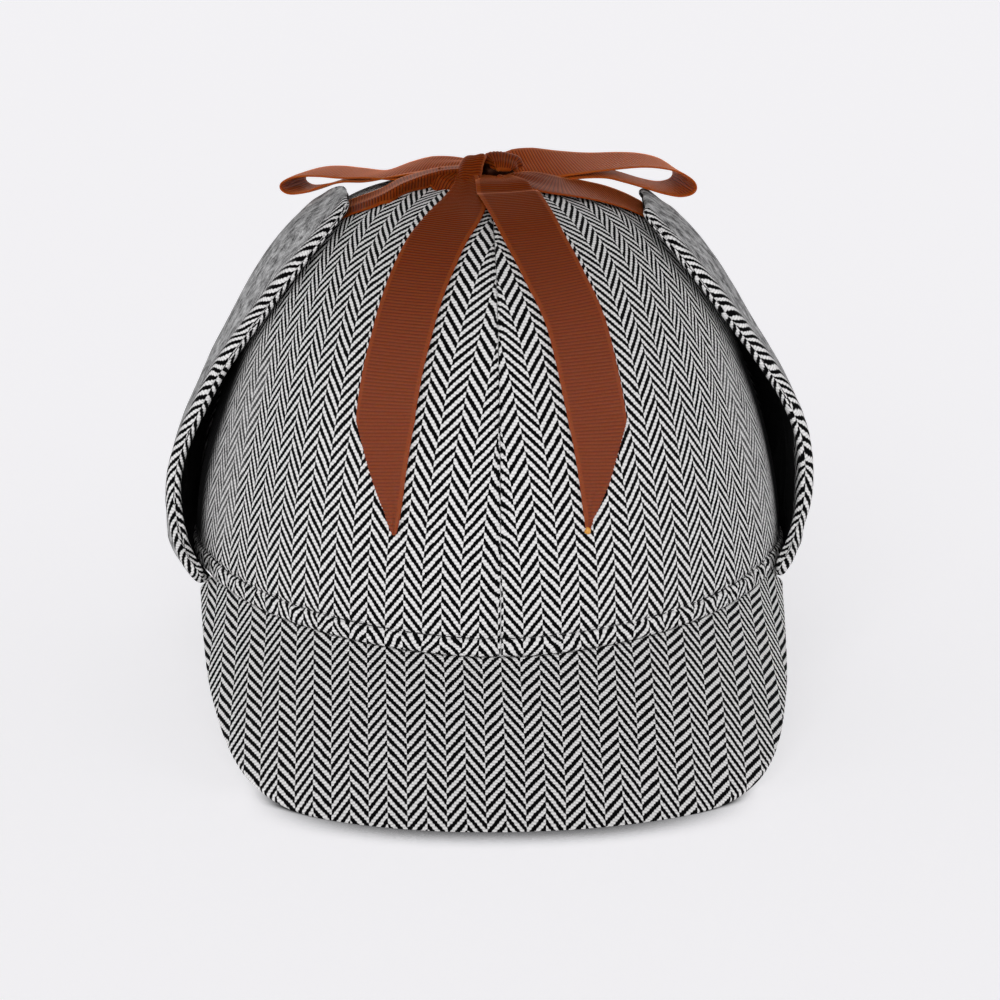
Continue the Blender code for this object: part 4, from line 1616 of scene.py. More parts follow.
FLAP_RIGHT_ROWS = (
    FlapRow(0, 1.5, -1.0, 0, 0, 2.0, -34, 33),
    FlapRow(0, 1.7, 1.5, 0, 0, 2.4, -35.5, 34),
    FlapRow(0, 0.4, 3.0, 0, 0, 3.2, -38.5, 35),
    FlapRow(0, -3.2, 3.9, 0.4, 0.4, 4.5, -40, 36),
    FlapRow(5.5, 0, 5.1, 1.2, 1.6, 4.5, -31, 35),
    FlapRow(11.3, 0, 7.1, 1.8, 3.4, 4.5, -24, 32),
    FlapRow(16.5, 0, 8.3, 2.0, 4.6, 4.5, -22, 31),
    FlapRow(22, 0, 9.0, 1.8, 5.2, 4.5, -23, 31),
    FlapRow(27.5, 0, 8.2, 1.4, 4.4, 4.5, -24, 31),
    FlapRow(33, 0, 6.2, 1.2, 2.6, 4.5, -26, 32),
    FlapRow(38.4, 0, 4.4, 1.2, 1.2, 4.5, -29, 33),
    FlapRow(44, 0, 3.6, 1.2, 0.6, 4.5, -33, 33),
    FlapRow(50, 0, 3.3, 1.2, 0.4, 4.3, -35, 31),
    FlapRow(56, 0, 3.4, 1.0, 0.5, 3.8, -35, 26),
    FlapRow(61.5, 0, 3.7, 0.6, 0.5, 3.2, -31, 17),
    FlapRow(65.6, 0, 3.9, 0.2, 0.3, 3.0, -24, 6),
)


# ---------------------------------------------------------------- ribbon


def start_tree(name: str, numbers: Sequence[str]) -> tuple[Tree, bpy.types.NodeOutputs]:
    """Start a Geometry Nodes tree that takes a mesh, some numbers and a finish.

    Args:
        name: Tree's name.
        numbers: Names of its numbers.

    Returns:
        The tree, and what it is given.
    """
    tree = bpy.data.node_groups.new(name, "GeometryNodeTree")
    face = tree.interface
    face.new_socket("Geometry", in_out="INPUT", socket_type="NodeSocketGeometry")
    for number in numbers:
        face.new_socket(number, in_out="INPUT", socket_type="NodeSocketFloat")
    face.new_socket("Finish", in_out="INPUT", socket_type="NodeSocketMaterial")
    face.new_socket("Geometry", in_out="OUTPUT", socket_type="NodeSocketGeometry")
    return tree, add_node(tree, "NodeGroupInput")


def end_tree(tree: Tree, geometry: Socket, finish: Socket) -> None:
    """Make a tree's instances real, dress them and give them out.

    Args:
        tree: The tree.
        geometry: What it has made.
        finish: Finish that it was given.
    """
    realized = add_node(tree, "GeometryNodeRealizeInstances", {0: geometry})[0]
    dressing = {"Geometry": realized, "Material": finish}
    dressed = add_node(tree, "GeometryNodeSetMaterial", dressing)[0]
    add_node(tree, "NodeGroupOutput", {0: dressed})


def apply_tree(piece: Piece, tree: Tree, values: Mapping[str, object]) -> None:
    """Send a piece through a Geometry Nodes tree, and keep what comes out as plain mesh.

    Args:
        piece: The piece.
        tree: Node tree.
        values: Input name against its value.
    """
    modifier = piece.modifiers.new(tree.name, "NODES")
    modifier.node_group = tree
    for item in tree.interface.items_tree:
        if item.item_type == "SOCKET" and item.in_out == "INPUT" and item.name in values:
            modifier[item.identifier] = values[item.name]
    plain_copy(piece)
    piece.data.shade_smooth()


@dataclass(frozen=True)
class RibTree:
    """Geometry Nodes that raise the ribs of a ribbon from its weave coordinates.

    Attributes:
        pitch_mm: Rib pitch.
        height: Height of a rib.
        plain_from_mm: Distance from the middle past which the selvedge is plain.
    """

    pitch_mm: float = RIB_MM
    height: float = 0.08 * MM
    plain_from_mm: float = 8.2

    def tree(self) -> Tree:
        """Build the node tree."""
        tree, given = start_tree("ribbon ribs", ("Pitch", "Height", "Plain From"))
        named = {"Name": WEAVE}
        weave = add_node(tree, "GeometryNodeInputNamedAttribute", named, data_type="FLOAT_VECTOR")
        across, along, _ = add_node(tree, SEPARATE, {0: weave["Attribute"]})
        ribs = add_node(tree, MATHS, {0: along, 1: given["Pitch"]}, operation="DIVIDE")[0]
        turn = add_node(tree, MATHS, {0: ribs, 1: math.tau}, operation="MULTIPLY")[0]
        wave = add_node(tree, MATHS, {0: turn}, operation="COSINE")[0]
        from_middle = add_node(tree, MATHS, {0: across}, operation="ABSOLUTE")[0]
        inside = {0: from_middle, 1: given["Plain From"]}
        ribbed = add_node(tree, MATHS, inside, operation="LESS_THAN")[0]
        rise = add_node(tree, MATHS, {0: wave, 1: ribbed}, operation="MULTIPLY")[0]
        height = add_node(tree, MATHS, {0: rise, 1: given["Height"]}, operation="MULTIPLY")[0]
        normal = add_node(tree, "GeometryNodeInputNormal")[0]
        offset = add_node(tree, VECTOR_MATHS, {0: normal, "Scale": height}, operation="SCALE")[0]
        shift = {"Geometry": given["Geometry"], "Offset": offset}
        end_tree(tree, add_node(tree, "GeometryNodeSetPosition", shift)[0], given["Finish"])
        return tree

    def raise_on(self, piece: Piece, tree: Tree, finish: Material) -> None:
        """Raise the ribs on a piece, as plain mesh.

        Args:
            piece: Ribbon with weave coordinates.
            tree: The node tree.
            finish: Ribbon's finish.
        """
        values = {
            "Pitch": self.pitch_mm,
            "Height": self.height,
            "Plain From": self.plain_from_mm,
            "Finish": finish,
        }
        apply_tree(piece, tree, values)


class TieRow(NamedTuple):
    """A point of a tie's path, in millimetres, measured towards the flap."""

    x: float
    y: float
    lift: float = 0
    roll_deg: float = 0
    half_width: float = RIBBON_HALF_MM


class FoldedRow(NamedTuple):
    """A crease and the two edges of a ribbon folded lengthwise, in millimetres."""

    x: float
    y: float
    z: float
    far_x: float
    far_y: float
    far_z: float
    near_x: float
    near_y: float
    near_z: float


class KnotRow(NamedTuple):
    """A point of a turn of the knot, in millimetres, and the direction of its width."""

    x: float
    y: float
    z: float
    across_x: float
    across_y: float
    across_z: float
    half_width: float


class LoopRow(NamedTuple):
    """A point of a loop's path, in millimetres, out from the knot's middle."""

    out: float
    z: float
    tilt_deg: float = 0
    half_width: float = RIBBON_HALF_MM


class TailRow(NamedTuple):
    """A point of a tail's path up the crown's front, in degrees and millimetres."""

    x: float
    climb_deg: float
    lift: float = 0
    left: float = RIBBON_HALF_MM
    right: float = RIBBON_HALF_MM


TIE_LEFT_ROWS = (
    FoldedRow(-45.0, -15.0, 153.3, -44.5, -2.6, 153.6, -44.9, -20.2, 151.7),
    FoldedRow(-40.0, -17.0, 155.6, -39.6, -5.4, 156.0, -40.0, -21.6, 153.9),
    FoldedRow(-32.8, -20.6, 158.9, -32.6, -8.2, 159.0, -32.8, -22.8, 156.6),
    FoldedRow(-26.2, -20.5, 162.3, -26.8, -10.0, 162.4, -26.4, -18.4, 158.9),
    FoldedRow(-19.6, -19.0, 164.6, -19.5, -10.4, 164.7, -19.8, -16.6, 160.4),
    FoldedRow(-13.6, -17.0, 165.9, -13.9, -11.0, 165.9, -14.0, -14.4, 161.4),
    FoldedRow(-8.4, -15.0, 166.0, -8.6, -9.6, 166.0, -8.8, -12.8, 161.8),
)
TIE_RIGHT_ROWS = (
    TieRow(49, -7.5),
    TieRow(44, -9.8, 0.1),
    TieRow(38, -12.6, 0.3),
    TieRow(31, -15.4, 0.4),
    TieRow(24, -17.6, 0.5),
    TieRow(17, -18.0, 0.7, 4, 8.5),
    TieRow(10.5, -14.5, 1.0, 8, 6.0),
    TieRow(4, -11, 1.2, 0, 4.5),
)
LOOP_RIGHT_ROWS = (
    LoopRow(5, 166.0, 14, 4.5),
    LoopRow(12, 165.9, 20, 7.6),
    LoopRow(19, 165.6, 17, 9.0),
    LoopRow(28, 165.3, 8),
    LoopRow(38, 165.1, 2),
    LoopRow(48, 165.1),
    LoopRow(55, 164.4),
    LoopRow(61, 162.8),
    LoopRow(65.2, 160.3),
    LoopRow(66.6, 157.9),
    LoopRow(65.2, 156.1),
    LoopRow(61.2, 155.6),
    LoopRow(55.5, 156.9),
    LoopRow(49.5, 158.9),
    LoopRow(43, 161.0),
    LoopRow(36.5, 162.7),
    LoopRow(28, 163.6, -4),
    LoopRow(19, 163.8, -10, 8.7),
    LoopRow(12, 163.9, -12, 6.8),
    LoopRow(5, 164.2, -10, 4.5),
)
LOOP_LEFT_ROWS = (
    LoopRow(5, 166.4, 6, 4.5),
    LoopRow(12, 165.4, 15, 6.8),
    LoopRow(19.5, 164.2, 16, 8.7),
    LoopRow(27.5, 162.9, 8),
    LoopRow(35, 161.5, -1.0),
    LoopRow(43, 161.3, 1),
    LoopRow(50, 161.5, 1.5),
    LoopRow(56, 161.1, 1),
    LoopRow(60.5, 159.9),
    LoopRow(63.2, 158.1),
    LoopRow(63, 156.1),
    LoopRow(60, 155.0),
    LoopRow(54.5, 155.9),
    LoopRow(49, 157.9, 1),
    LoopRow(42.5, 159.5, 1),
    LoopRow(35, 160.2),
    LoopRow(27.5, 161.8),
    LoopRow(19.5, 163.4, 0, 8.5),
    LoopRow(12, 164.4, 0, 6.5),
    LoopRow(5, 165.3, 0, 4.5),
)
TAIL_LEFT_ROWS = (
    TailRow(-6.8, 85, 3.2, 3.0, 3.0),
    TailRow(-7.0, 81.5, 1.2, 3.8, 3.8),
    TailRow(-7.8, 77.5, 0.1, 5.8, 6.3),
    TailRow(-9.6, 72.5, 0, 7.9, 7.9),
    TailRow(-12.2, 68.4, 0, 8.7, 8.7),
    TailRow(-16.5, 62.8, 0, 9.2, 9.2),
    TailRow(-19.6, 57.8),
    TailRow(-22.6, 52.6),
    TailRow(-25.3, 47.2),
    TailRow(-27.6, 41.8),
    TailRow(-29.5, 37.4),
    TailRow(-31.1, 32.5),
    TailRow(-32.1, 28, 0, 9.3, 9.3),
    TailRow(-32.4, 20.5, 0, 5.1, 6.8),
    TailRow(-32.3, 14, 0, 0.4, 4.7),
    TailRow(-32.0, 10.8, 0, -1.7, 2.6),
)
TAIL_RIGHT_ROWS = (
    TailRow(1.0, 87, 0.6, 4.5, 4.5),
    TailRow(2.0, 83.5, 1.3, 6.6, 6.6),
    TailRow(3.1, 80.3, 1.9, 7.9, 7.9),
    TailRow(4.1, 77.6, 0.7, 8.8, 8.8),
    TailRow(5.2, 75.2, 1.5, 9.4, 9.4),
    TailRow(8.6, 67.9, 1.0),
    TailRow(11.7, 61.9, 0.2),
    TailRow(14.6, 56.9),
    TailRow(17.2, 52.3),
    TailRow(19.8, 48.4),
    TailRow(22.4, 43.6),
    TailRow(24.7, 37.3),
    TailRow(26.4, 32),
    TailRow(27.8, 27, 0, 9.3, 9.3),
    TailRow(28.2, 22.4, 0, 7.9, 6.0),
    TailRow(28.2, 17.5, 0, 6.3, 3.0),
    TailRow(28.0, 12.6, 0, 4.6, -1.8),
    TailRow(27.9, 10.9, 0, 3.8, -3.0),
)
KNOT_BULGE_ROWS = (
    KnotRow(9.8, -6.0, 165.2, 0.1, 1, 0, 3.6),
    KnotRow(8.8, -6.5, 167.7, 0.1, 1, 0, 5.0),
    KnotRow(5.0, -7.0, 169.1, 0.0, 1, 0, 5.8),
    KnotRow(1.6, -7.4, 169.4, -0.1, 1, 0, 6.0),
    KnotRow(-0.6, -7.8, 168.6, -0.2, 1, 0, 5.4),
    KnotRow(-1.4, -8.0, 166.0, -0.2, 1, 0, 4.2),
)
KNOT_WRAP_ROWS = (
    KnotRow(-4.8, -4.0, 166.2, -0.9, 0.2, -0.4, 3.4),
    KnotRow(-5.8, -8.2, 168.6, -0.88, 0.2, -0.5, 4.7),
    KnotRow(-6.8, -12.6, 168.2, -0.9, 0.1, -0.46, 5.2),
    KnotRow(-7.4, -16.8, 165.8, -0.96, 0, -0.28, 4.9),
    KnotRow(-7.2, -20.4, 162.7, -1, 0, -0.08, 4.0),
    KnotRow(-6.4, -22.8, 160.4, -1, 0, 0, 2.4),
)
KNOT_UNDER_ROWS = (
    KnotRow(-17.0, -15.0, 165.0, -0.617, -0.52, -0.59, 3.2),
    KnotRow(-14.2, -17.4, 163.8, -0.617, -0.52, -0.59, 4.3),
    KnotRow(-11.0, -19.3, 162.6, -0.617, -0.52, -0.59, 4.6),
    KnotRow(-8.2, -20.8, 161.4, -0.617, -0.52, -0.59, 4.0),
)


@dataclass(frozen=True)
class RibbonPath:
    """A length of ribbon through rows of a centre, a direction across and two half widths.

    Attributes:
        centres: Centre points, in metres.
        across: Unit directions towards the right-hand edge.
        left: Distance of the left edge from the centre.
        right: Distance of the right edge from the centre.
        full_half: Half width of the ribbon laid flat.
        thickness: Thickness of the ribbon.
        cut_edge: Edge whose selvedge stays whole where the end is cut on the slant.
        folded: Unit directions of the left-hand part, where it is folded at the centre.
        crease: Width of the rounded crease of that fold.
        curl_deg: Half angle of the arc that the ribbon's width is bent to.
        cup: How far the ribbon bends across its width.
        gather: Depth of the pleats where the ribbon is drawn together.
        step: Spacing of the grid along the ribbon, several rows to a rib.
        across_step: The same across a flat ribbon. A bent one has twice as many.
    """

    centres: np.ndarray
    across: np.ndarray
    left: np.ndarray
    right: np.ndarray
    full_half: float = RIBBON_HALF_MM * MM
    thickness: float = 0.5 * MM
    cut_edge: Side | None = None
    folded: np.ndarray | None = None
    crease: float = 2.4 * MM
    curl_deg: float = 0.0
    cup: float = 0.25 * MM
    gather: float = 0.3 * MM
    step: float = 0.22 * MM
    across_step: float = 1.6 * MM

    def shell(self) -> tuple[Shell, float]:
        """Grids of the ribbon's two faces, and the ribbon's length."""
        half = self.thickness / 2
        path = smooth_through(self.centres, np.linspace(0, 1, 900))
        lengths, shares = spaced_along(path, self.step, half)
        centre = smooth_through(self.centres, shares)[:, None, :]
        across = unit(smooth_through(self.across, shares))[:, None, :]
        nodes = np.linspace(0, 1, len(self.left))
        left = np.interp(shares, nodes, self.left)[:, None]
        right = np.interp(shares, nodes, self.right)[:, None]
        width = 2 * self.full_half
        bent = self.curl_deg or self.folded is not None
        step = self.across_step / 2 if bent else self.across_step
        place = (spaced(width, step, half, arcs=2) / width)[None, :]
        offset = (left + right) * place - left
        middle = centre + across * offset[..., None]
        if self.folded is not None:
            folded = unit(smooth_through(self.folded, shares))[:, None, :]
            # The crease is rounded to either side.
            turned = smoothstep(0.5 - offset / self.crease)[..., None]
            middle = middle * (1 - turned) + (centre - folded * offset[..., None]) * turned
        normals = grid_normals(middle)
        if self.curl_deg:
            angle = math.radians(self.curl_deg) * (2 * place - 1)
            radius = (left + right) / 2 / math.sin(math.radians(self.curl_deg))
            shift = radius * np.sin(angle) - (offset + (left - right) / 2)
            middle = middle + across * shift[..., None]
            middle = middle - normals * (radius * (1 - np.cos(angle)))[..., None]
            normals = grid_normals(middle)
        drawn = np.clip(1 - (left + right) / width, 0, 1)
        bend = self.cup * (4 * place * (1 - place) - 0.6)
        pleat = self.gather * drawn * np.sin(2 * math.tau * place + 0.6)
        middle = middle + normals * (bend + pleat)[..., None]
        ends = rounding(np.minimum(lengths, lengths[-1] - lengths), half)[:, None]
        share = rounding(np.minimum(place, 1 - place) * (left + right), half) * ends
        outer = middle + normals * (half * share)[..., None]
        inner = middle - normals * (half * share)[..., None]
        flat = (place * 2 - 1) * self.full_half * np.ones_like(offset)
        if self.cut_edge is Side.RIGHT:
            flat = self.full_half - (1 - place) * (left + right)
        if self.cut_edge is Side.LEFT:
            flat = place * (left + right) - self.full_half
        weave = np.stack((flat, np.broadcast_to(lengths[:, None], flat.shape)), axis=-1) / MM
        return Shell(outer, inner, weave, weave), float(lengths[-1])


def directions(points: np.ndarray) -> np.ndarray:
    """Unit directions along a path at each of its points."""
    padded = np.concatenate((points[:1], points, points[-1:]))
    return unit(padded[2:] - padded[:-2])


def turned_about(vectors: np.ndarray, axes: np.ndarray, angles: np.ndarray) -> np.ndarray:
    """Turn vectors about unit axes at right angles to them."""
    return vectors * np.cos(angles)[:, None] + np.cross(axes, vectors) * np.sin(angles)[:, None]


@dataclass(frozen=True)
class Bow:
    """Ties, loops, tails and knot of one grosgrain ribbon.

    Attributes:
        dome: Form of the crown that the ribbon lies on.
        seat: Height of the ribbon's middle over the dome.
        knot_middle_mm: Point of the plan that the loops start from.
    """

    dome: Dome
    seat: float = 0.75 * MM
    knot_middle_mm: tuple[float, float] = (-2.0, -8.0)

    def build(self, grosgrain: Material, painted_light_ribbon: Material) -> None:
        """Build every ribbon piece.

        Args:
            grosgrain: Ribbon's finish.
            painted_light_ribbon: Paler copy of the ribbon's finish for the loops, painted light for where
                they catch the light.
        """
        ribs = RibTree()
        tree = ribs.tree()
        paths = {
            "ribbon_tie_left": self._folded_tie(TIE_LEFT_ROWS, 0.2 * MM),
            "ribbon_tie_right": self._tie(Side.RIGHT, TIE_RIGHT_ROWS, 0.5 * MM),
            "bow_loop_left": self._loop(Side.LEFT, 24, 0, LOOP_LEFT_ROWS, 0.5 * MM),
            "bow_loop_right": self._loop(Side.RIGHT, 18, 6, LOOP_RIGHT_ROWS, 0.5 * MM),
            "bow_tail_left": self._tail(TAIL_LEFT_ROWS, Side.RIGHT),
            "bow_tail_right": self._tail(TAIL_RIGHT_ROWS, Side.LEFT),
        }
        for name, path in paths.items():
            shell, length = path.shell()
            # The loops take the paler copy, painted light.
            finish = painted_light_ribbon if "loop" in name else grosgrain
            piece = add_piece(f"{name}_ribbon", shell_mesh(name, [shell]), finish)
            ribs.raise_on(piece, tree, finish)
            register(piece, name)
        knot = add_piece("bow_knot_ribbon", shell_mesh("bow_knot", self._knot()), grosgrain)
        ribs.raise_on(knot, tree, grosgrain)
        register(knot, "bow_knot")

    def _tie(self, side: Side, rows: tuple[TieRow, ...], gather: float) -> RibbonPath:
        """A tie that lies on the crown from a flap's tip to the knot.

        Args:
            side: Side of the flap.
            rows: Its path.
            gather: Depth of its pleats.

        Returns:
            The path.
        """
        row = TieRow(*np.array(rows).T)
        x = side.value * row.x * MM
        y = row.y * MM
        foot = np.stack((x, y, self.dome.height_over(x, y)), axis=-1)
        normals = self.dome.normals(foot)
        centres = foot + normals * (self.seat + row.lift[:, None] * MM)
        along = directions(centres)
        level = unit(np.cross(normals, along))
        across = turned_about(level, along, np.radians(-side.value * row.roll_deg))
        half = row.half_width * MM
        return RibbonPath(centres, across, half, half, gather=gather)

    @staticmethod
    def _folded_tie(rows: tuple[FoldedRow, ...], gather: float) -> RibbonPath:
        """A tie that stands off the crown, with its near part folded down.

        Args:
            rows: Its crease and edges.
            gather: Depth of its pleats.

        Returns:
            The path.
        """
        table = np.array(rows) * MM
        crease = table[:, 0:3]
        far = table[:, 3:6] - crease
        near = table[:, 6:9] - crease
        left = np.linalg.norm(near, axis=1)
        right = np.linalg.norm(far, axis=1)
        return RibbonPath(crease, unit(far), left, right, folded=unit(near), gather=gather)

    def _loop(
        self,
        side: Side,
        heading_deg: float,
        lean_deg: float,
        rows: tuple[LoopRow, ...],
        gather: float,
    ) -> RibbonPath:
        """A loop: out along the top, round its end, and back underneath.

        Args:
            side: Side that it points to.
            heading_deg: How far it points to the back.
            lean_deg: How far its width leans up at the back.
            rows: Its path.
            gather: Depth of its pleats.

        Returns:
            The path.
        """
        row = LoopRow(*np.array(rows).T)
        heading = math.radians(heading_deg)
        lean = math.radians(lean_deg)
        outward = np.array((side.value * math.cos(heading), math.sin(heading), 0))
        level = np.array((-side.value * math.sin(heading), math.cos(heading), 0))
        axis = level * math.cos(lean) + np.array((0, 0, math.sin(lean)))
        start = np.array((*self.knot_middle_mm, 0))
        up = np.array((0, 0, 1))
        centres = (start + outward * row.out[:, None] + up * row.z[:, None]) * MM
        axes = np.broadcast_to(axis, centres.shape)
        tilt = np.radians(row.tilt_deg) * side.value
        across = turned_about(axes, directions(centres), tilt)
        half = row.half_width * MM
        return RibbonPath(centres, across, half, half, gather=gather)

    def _tail(self, rows: tuple[TailRow, ...], whole_edge: Side) -> RibbonPath:
        """A tail on the crown's front, with its slanting cut end.

        Args:
            rows: Its path.
            whole_edge: Edge that the cut leaves whole.

        Returns:
            The path.
        """
        row = TailRow(*np.array(rows).T)
        foot = self.dome.front_point(row.x * MM, np.radians(row.climb_deg))
        normals = self.dome.normals(foot)
        centres = foot + normals * (self.seat + row.lift[:, None] * MM)
        across = unit(np.cross(normals, directions(centres)))
        return RibbonPath(centres, across, row.left * MM, row.right * MM, cut_edge=whole_edge)

    def _knot(self) -> list[Shell]:
        """The knot: a roll behind, a turn down the front, one under it, and its core."""
        turns = ((KNOT_BULGE_ROWS, 74, 1.0), (KNOT_WRAP_ROWS, 52, 0.7), (KNOT_UNDER_ROWS, 48, 0.5))
        wound = [self._wound(rows, curl_deg, gather * MM) for rows, curl_deg, gather in turns]
        core = self._core((2.6, -7.2, 164.4), (5.4, 4.8, 3.0), 0)
        front_core = self._core((-7.0, -13.0, 163.4), (2.9, 6.2, 2.6), 18)
        return [*wound, core, front_core]

    @staticmethod
    def _wound(rows: tuple[KnotRow, ...], curl_deg: float, gather: float) -> Shell:
        """A turn of the knot, bent across its width.

        Args:
            rows: Its path.
            curl_deg: Half angle of the bend.
            gather: Depth of its pleats.

        Returns:
            The shell.
        """
        table = np.array(rows)
        half = table[:, 6] * MM
        across = unit(table[:, 3:6])
        path = RibbonPath(table[:, :3] * MM, across, half, half, curl_deg=curl_deg, gather=gather)
        return path.shell()[0]

    @staticmethod
    def _core(
        centre: tuple[float, float, float], half_size: tuple[float, float, float], dip_deg: float
    ) -> Shell:
        """Crumpled ribbon inside the knot, coloured with painted shade.

        Args:
            centre: Centre in millimetres.
            half_size: Half sizes in millimetres.
            dip_deg: Angle by which its front dips.

        Returns:
            The shell, whose poles are at its two sides.
        """
        around = np.linspace(0, math.tau, 65)
        across = np.linspace(-math.pi / 2, math.pi / 2, 33)
        ring, side = np.meshgrid(around, across, indexing="ij")
        ball = np.stack(
            (np.sin(side), np.cos(side) * np.cos(ring), np.cos(side) * np.sin(ring)), axis=-1
        )
        lump = np.sign(ball) * np.abs(ball) ** 0.85
        folds = 0.06 * np.sin(side * 7 + 1.5 * np.sin(ring)) * np.cos(side)
        lump[..., 1:] *= (1 + folds)[..., None]
        x, y, z = np.moveaxis(lump * np.array(half_size), -1, 0)
        dip = math.radians(dip_deg)
        dipped = (x, y * math.cos(dip) - z * math.sin(dip), y * math.sin(dip) + z * math.cos(dip))
        middle = np.array(centre) * MM
        outer = np.stack(dipped, axis=-1) * MM + middle
        # Weave coordinates past the ribbon's edge give the core the knot's painted shade.
        weave = np.stack((KNOT_SHADE_MM + 2 + side, 0.51 + 0.04 * np.sin(ring * 3)), axis=-1)
        return Shell(outer, (outer - middle) * 0.6 + middle, weave, weave)


@dataclass(frozen=True)
class SealedTip:
    """Bead of melted ribbon on the right tail's point.

    Attributes:
        dome: Form of the crown that it lies on.
        x_mm: Place across the front.
        climb_deg: Place up the front.
        lift: Height of its middle over the crown.
        radius: Its radius.
    """

    dome: Dome
    x_mm: float = 24.6
    climb_deg: float = 10.8
    lift: float = 1.0 * MM
    radius: float = 0.9 * MM

    def build(self, seal: Material) -> None:
        """Build the bead.

        Args:
            seal: Its finish.
        """
        x = np.array([self.x_mm * MM])
        foot = self.dome.front_point(x, np.radians([self.climb_deg]))
        centre = Vector(self.dome.lifted(foot, self.lift)[0])
        shape = bmesh.new()
        bmesh.ops.create_icosphere(shape, subdivisions=4, radius=self.radius)
        for vertex in shape.verts:
            # A drop that is flat from front to back, narrows upwards and is a little uneven.
            run = vertex.co.z / self.radius
            vertex.co.x *= 1 - 0.3 * run
            vertex.co.y *= 0.75
            vertex.co.z *= 1.2
            vertex.co.x += 0.08 * self.radius * math.sin(5 * run + vertex.co.y * 2000)
            vertex.co += centre
        mesh = bpy.data.meshes.new("tail_sealed_tip")
        shape.to_mesh(mesh)
        shape.free()
        mesh.shade_smooth()
        carry(add_piece("tail_sealed_tip", mesh, seal))


# ---------------------------------------------------------------- stitching


@dataclass(frozen=True)
class Stitching:
    """Topstitching along the crown's hem, laid by Geometry Nodes.

    Attributes:
        crown: Crown that it is sewn on.
        pitch: Distance from stitch to stitch.
        length: Length of a stitch on the surface.
        thread: Thickness of the thread.
    """

    crown: Crown
    pitch: float = 3.0 * MM
    length: float = 2.4 * MM
    thread: float = 0.35 * MM

    def build(self, thread: Material) -> None:
        """Build the stitches.

        Args:
            thread: Thread's finish.
        """
        azimuth = np.linspace(0, math.tau, 721)[:-1]
        dome = self.crown.dome
        run = dome.upright_run(rim_height(azimuth)) + self.crown.stitch_line.place
        points = dome.at(azimuth, dome.height_of_run(run), -0.02 * MM)
        mesh = bpy.data.meshes.new("hem_stitches")
        edges = [(i, (i + 1) % len(points)) for i in range(len(points))]
        mesh.from_pydata(points.tolist(), edges, [])
        piece = add_piece("hem_stitches", mesh, thread)
        values = {
            "Pitch": self.pitch,
            "Length": self.length,
            "Thread": self.thread,
            "Finish": thread,
        }
        apply_tree(piece, self._tree(), values)
        carry(piece)

    @staticmethod
    def _tree() -> Tree:
        """Node tree that lays one stitch at each pitch along an edge line."""
        tree, given = start_tree("stitch row", ("Pitch", "Length", "Thread"))
        curve = add_node(tree, "GeometryNodeMeshToCurve", {0: given["Geometry"]})[0]
        spacing = {"Curve": curve, "Length": given["Pitch"]}
        row = add_node(tree, "GeometryNodeResampleCurve", spacing, mode="LENGTH")[0]
        tangent = {"Vector": add_node(tree, "GeometryNodeInputTangent")[0]}
        turn = add_node(tree, "FunctionNodeAlignRotationToVector", tangent, axis="X")[0]
        round_bead = {"Segments": 8, "Rings": 6, "Radius": 0.5}
        bead = add_node(tree, "GeometryNodeMeshUVSphere", round_bead)[0]
        sizes = {0: given["Length"], 1: given["Thread"], 2: given["Thread"]}
        size = add_node(tree, "ShaderNodeCombineXYZ", sizes)[0]
        places = {"Points": row, "Instance": bead, "Rotation": turn, "Scale": size}
        laid = add_node(tree, "GeometryNodeInstanceOnPoints", places)[0]
        end_tree(tree, laid, given["Finish"])
        return tree


# ---------------------------------------------------------------- studio


def aim(azimuth_deg: float, elevation_deg: float) -> Vector:
    """Unit direction from the hat towards an azimuth and an elevation.

    Args:
        azimuth_deg: From the front towards the right.
        elevation_deg: Up from the floor.

    Returns:
        The direction.
    """
    azimuth = math.radians(azimuth_deg)
    elevation = math.radians(elevation_deg)
    level = math.cos(elevation)
    return Vector((math.sin(azimuth) * level, -math.cos(azimuth) * level, math.sin(elevation)))


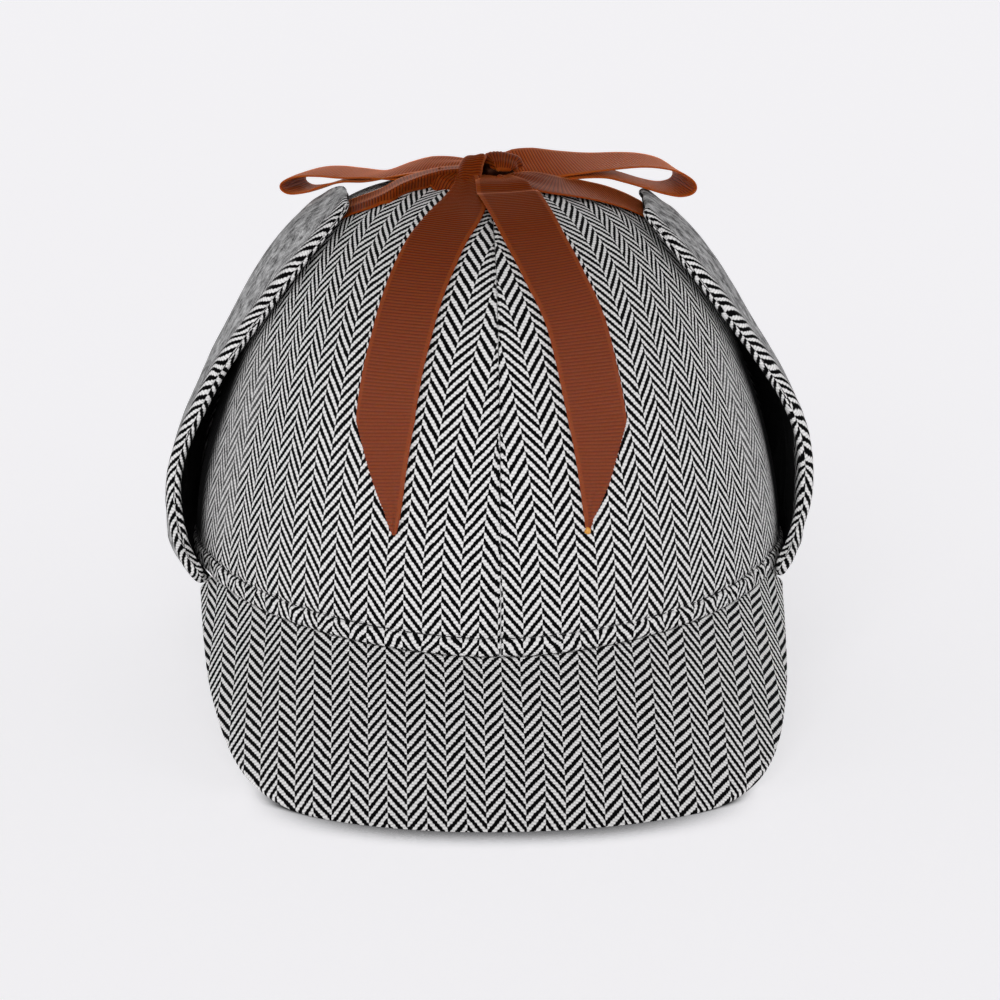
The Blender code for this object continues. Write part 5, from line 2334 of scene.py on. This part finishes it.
@dataclass(frozen=True)
class Studio:
    """Pale floor, soft light and the camera.

    Attributes:
        target_mm: Point that the camera looks at.
        azimuth_deg: Camera's azimuth.
        elevation_deg: Camera's elevation.
        distance: Camera's distance from the target.
        view_width: Width of the view at the target.
        floor_half: Half the floor's side.
    """

    target_mm: tuple[float, float, float] = (3.7, 0.0, 59.5)
    azimuth_deg: float = -2.3
    elevation_deg: float = 14.0
    distance: float = 1.1
    view_width: float = 312.5 * MM
    floor_half: float = 9.0

    def build(self) -> None:
        """Set up the camera, the floor, the surroundings and the light."""
        self._camera()
        self._floor()
        self._surroundings()
        self._sun(azimuth_deg=-8, elevation_deg=25, strength=1.25, spread_deg=34)

    def _camera(self) -> None:
        """Create the camera."""
        data = bpy.data.cameras.new("camera")
        data.sensor_width = 36
        data.lens = data.sensor_width * self.distance / self.view_width
        data.clip_start = 0.01
        data.clip_end = 60
        camera = bpy.data.objects.new("camera", data)
        back = aim(self.azimuth_deg, self.elevation_deg)
        camera.location = Vector(self.target_mm) * MM + back * self.distance
        camera.rotation_euler = back.to_track_quat("Z", "Y").to_euler()
        bpy.context.scene.collection.objects.link(camera)
        bpy.context.scene.camera = camera

    def _floor(self) -> None:
        """Create the floor."""
        half = self.floor_half
        mesh = bpy.data.meshes.new("floor")
        corners = [(-half, -half, 0), (half, -half, 0), (half, half, 0), (-half, half, 0)]
        mesh.from_pydata(corners, [], [(0, 1, 2, 3)])
        # A white acrylic table lit from beneath keeps its shadows light, and a painted contact shadow
        # darkens its glow and colour near the hat's middle.
        paint = PlainFinish(
            "#C6C5C8", "#C8C7CA", 0.9, 0.5, glow=0.56, shade_reach=0.016, shade_half=0.075
        ).material("white_acrylic")
        add_piece("floor", mesh, paint)

    @staticmethod
    def _surroundings() -> None:
        """Light the scene from a pale room that is dimmer overhead."""
        world = bpy.data.worlds.new("studio")
        world.use_nodes = True
        tree = world.node_tree
        tree.nodes.clear()
        place = add_node(tree, "ShaderNodeTexCoord")["Generated"]
        height = add_node(tree, SEPARATE, {0: place})[2]
        dimming = {"Value": height, "From Min": 0.28, "From Max": 0.8, "To Min": 0.86, "To Max": 0.16}
        strength = add_node(tree, MAP_RANGE, dimming, interpolation_type="SMOOTHSTEP")[0]
        room = {"Color": (1.0, 0.99, 1.01, 1.0), "Strength": strength}
        surface = {"Surface": add_node(tree, "ShaderNodeBackground", room)[0]}
        add_node(tree, "ShaderNodeOutputWorld", surface)
        bpy.context.scene.world = world

    @staticmethod
    def _sun(azimuth_deg: float, elevation_deg: float, strength: float, spread_deg: float) -> None:
        """Add a large soft distant light.

        Args:
            azimuth_deg: Where it stands, from the front towards the right.
            elevation_deg: Its height above the floor.
            strength: Its strength.
            spread_deg: How wide it looks, which softens its shadows.
        """
        data = bpy.data.lights.new("key_light", "SUN")
        data.energy = strength
        data.angle = math.radians(spread_deg)
        light = bpy.data.objects.new("key_light", data)
        light.rotation_euler = aim(azimuth_deg, elevation_deg).to_track_quat("Z", "Y").to_euler()
        bpy.context.scene.collection.objects.link(light)


# ---------------------------------------------------------------- whole hat


def main() -> None:
    """Build every piece in order."""
    logging.basicConfig(level=logging.INFO, format="%(name)s: %(message)s", stream=sys.stdout)
    bpy.context.scene.view_settings.view_transform = "Standard"
    Studio().build()
    tweed = HerringboneTweed().material("wool_herringbone_tweed")
    # Flaps and side gores take the tweed with nap and with painted shade where they face each other.
    napped_and_shaded = HerringboneTweed().material("wool_herringbone_tweed_brushed_painted_shade", nap_and_shade=True)
    grosgrain = GrosgrainRibbon().material("polyester_grosgrain_ribbon")
    thread = PlainFinish("#1B1A1C", "#3A393B", 0.8, 900).material("black_cotton_thread")
    dome = Dome()
    crown = Crown(dome)
    crown.build(tweed, napped_and_shaded)
    Stitching(crown).build(thread)
    Peak(dome).build("front_peak", 1, tweed)
    Peak(dome).build("back_peak", -1, tweed)
    EarFlap(dome, Side.LEFT, FLAP_LEFT_ROWS).build("ear_flap_left", napped_and_shaded)
    EarFlap(dome, Side.RIGHT, FLAP_RIGHT_ROWS).build("ear_flap_right", napped_and_shaded)
    # The loops' paler copy of the finish is painted light for where they catch the light.
    painted_light_ribbon = GrosgrainRibbon(
        ridge="#98451A", valley_shade="#531B09", edge="#9C4A18", fade=0.0, sheen_roughness=0.3
    ).material("polyester_grosgrain_ribbon_painted_light")
    Bow(dome).build(grosgrain, painted_light_ribbon)
    seal = PlainFinish("#B0620C", "#F0B048", 0.25, 700).material("melted_polyester")
    SealedTip(dome).build(seal)


if __name__ == "__main__":
    main()
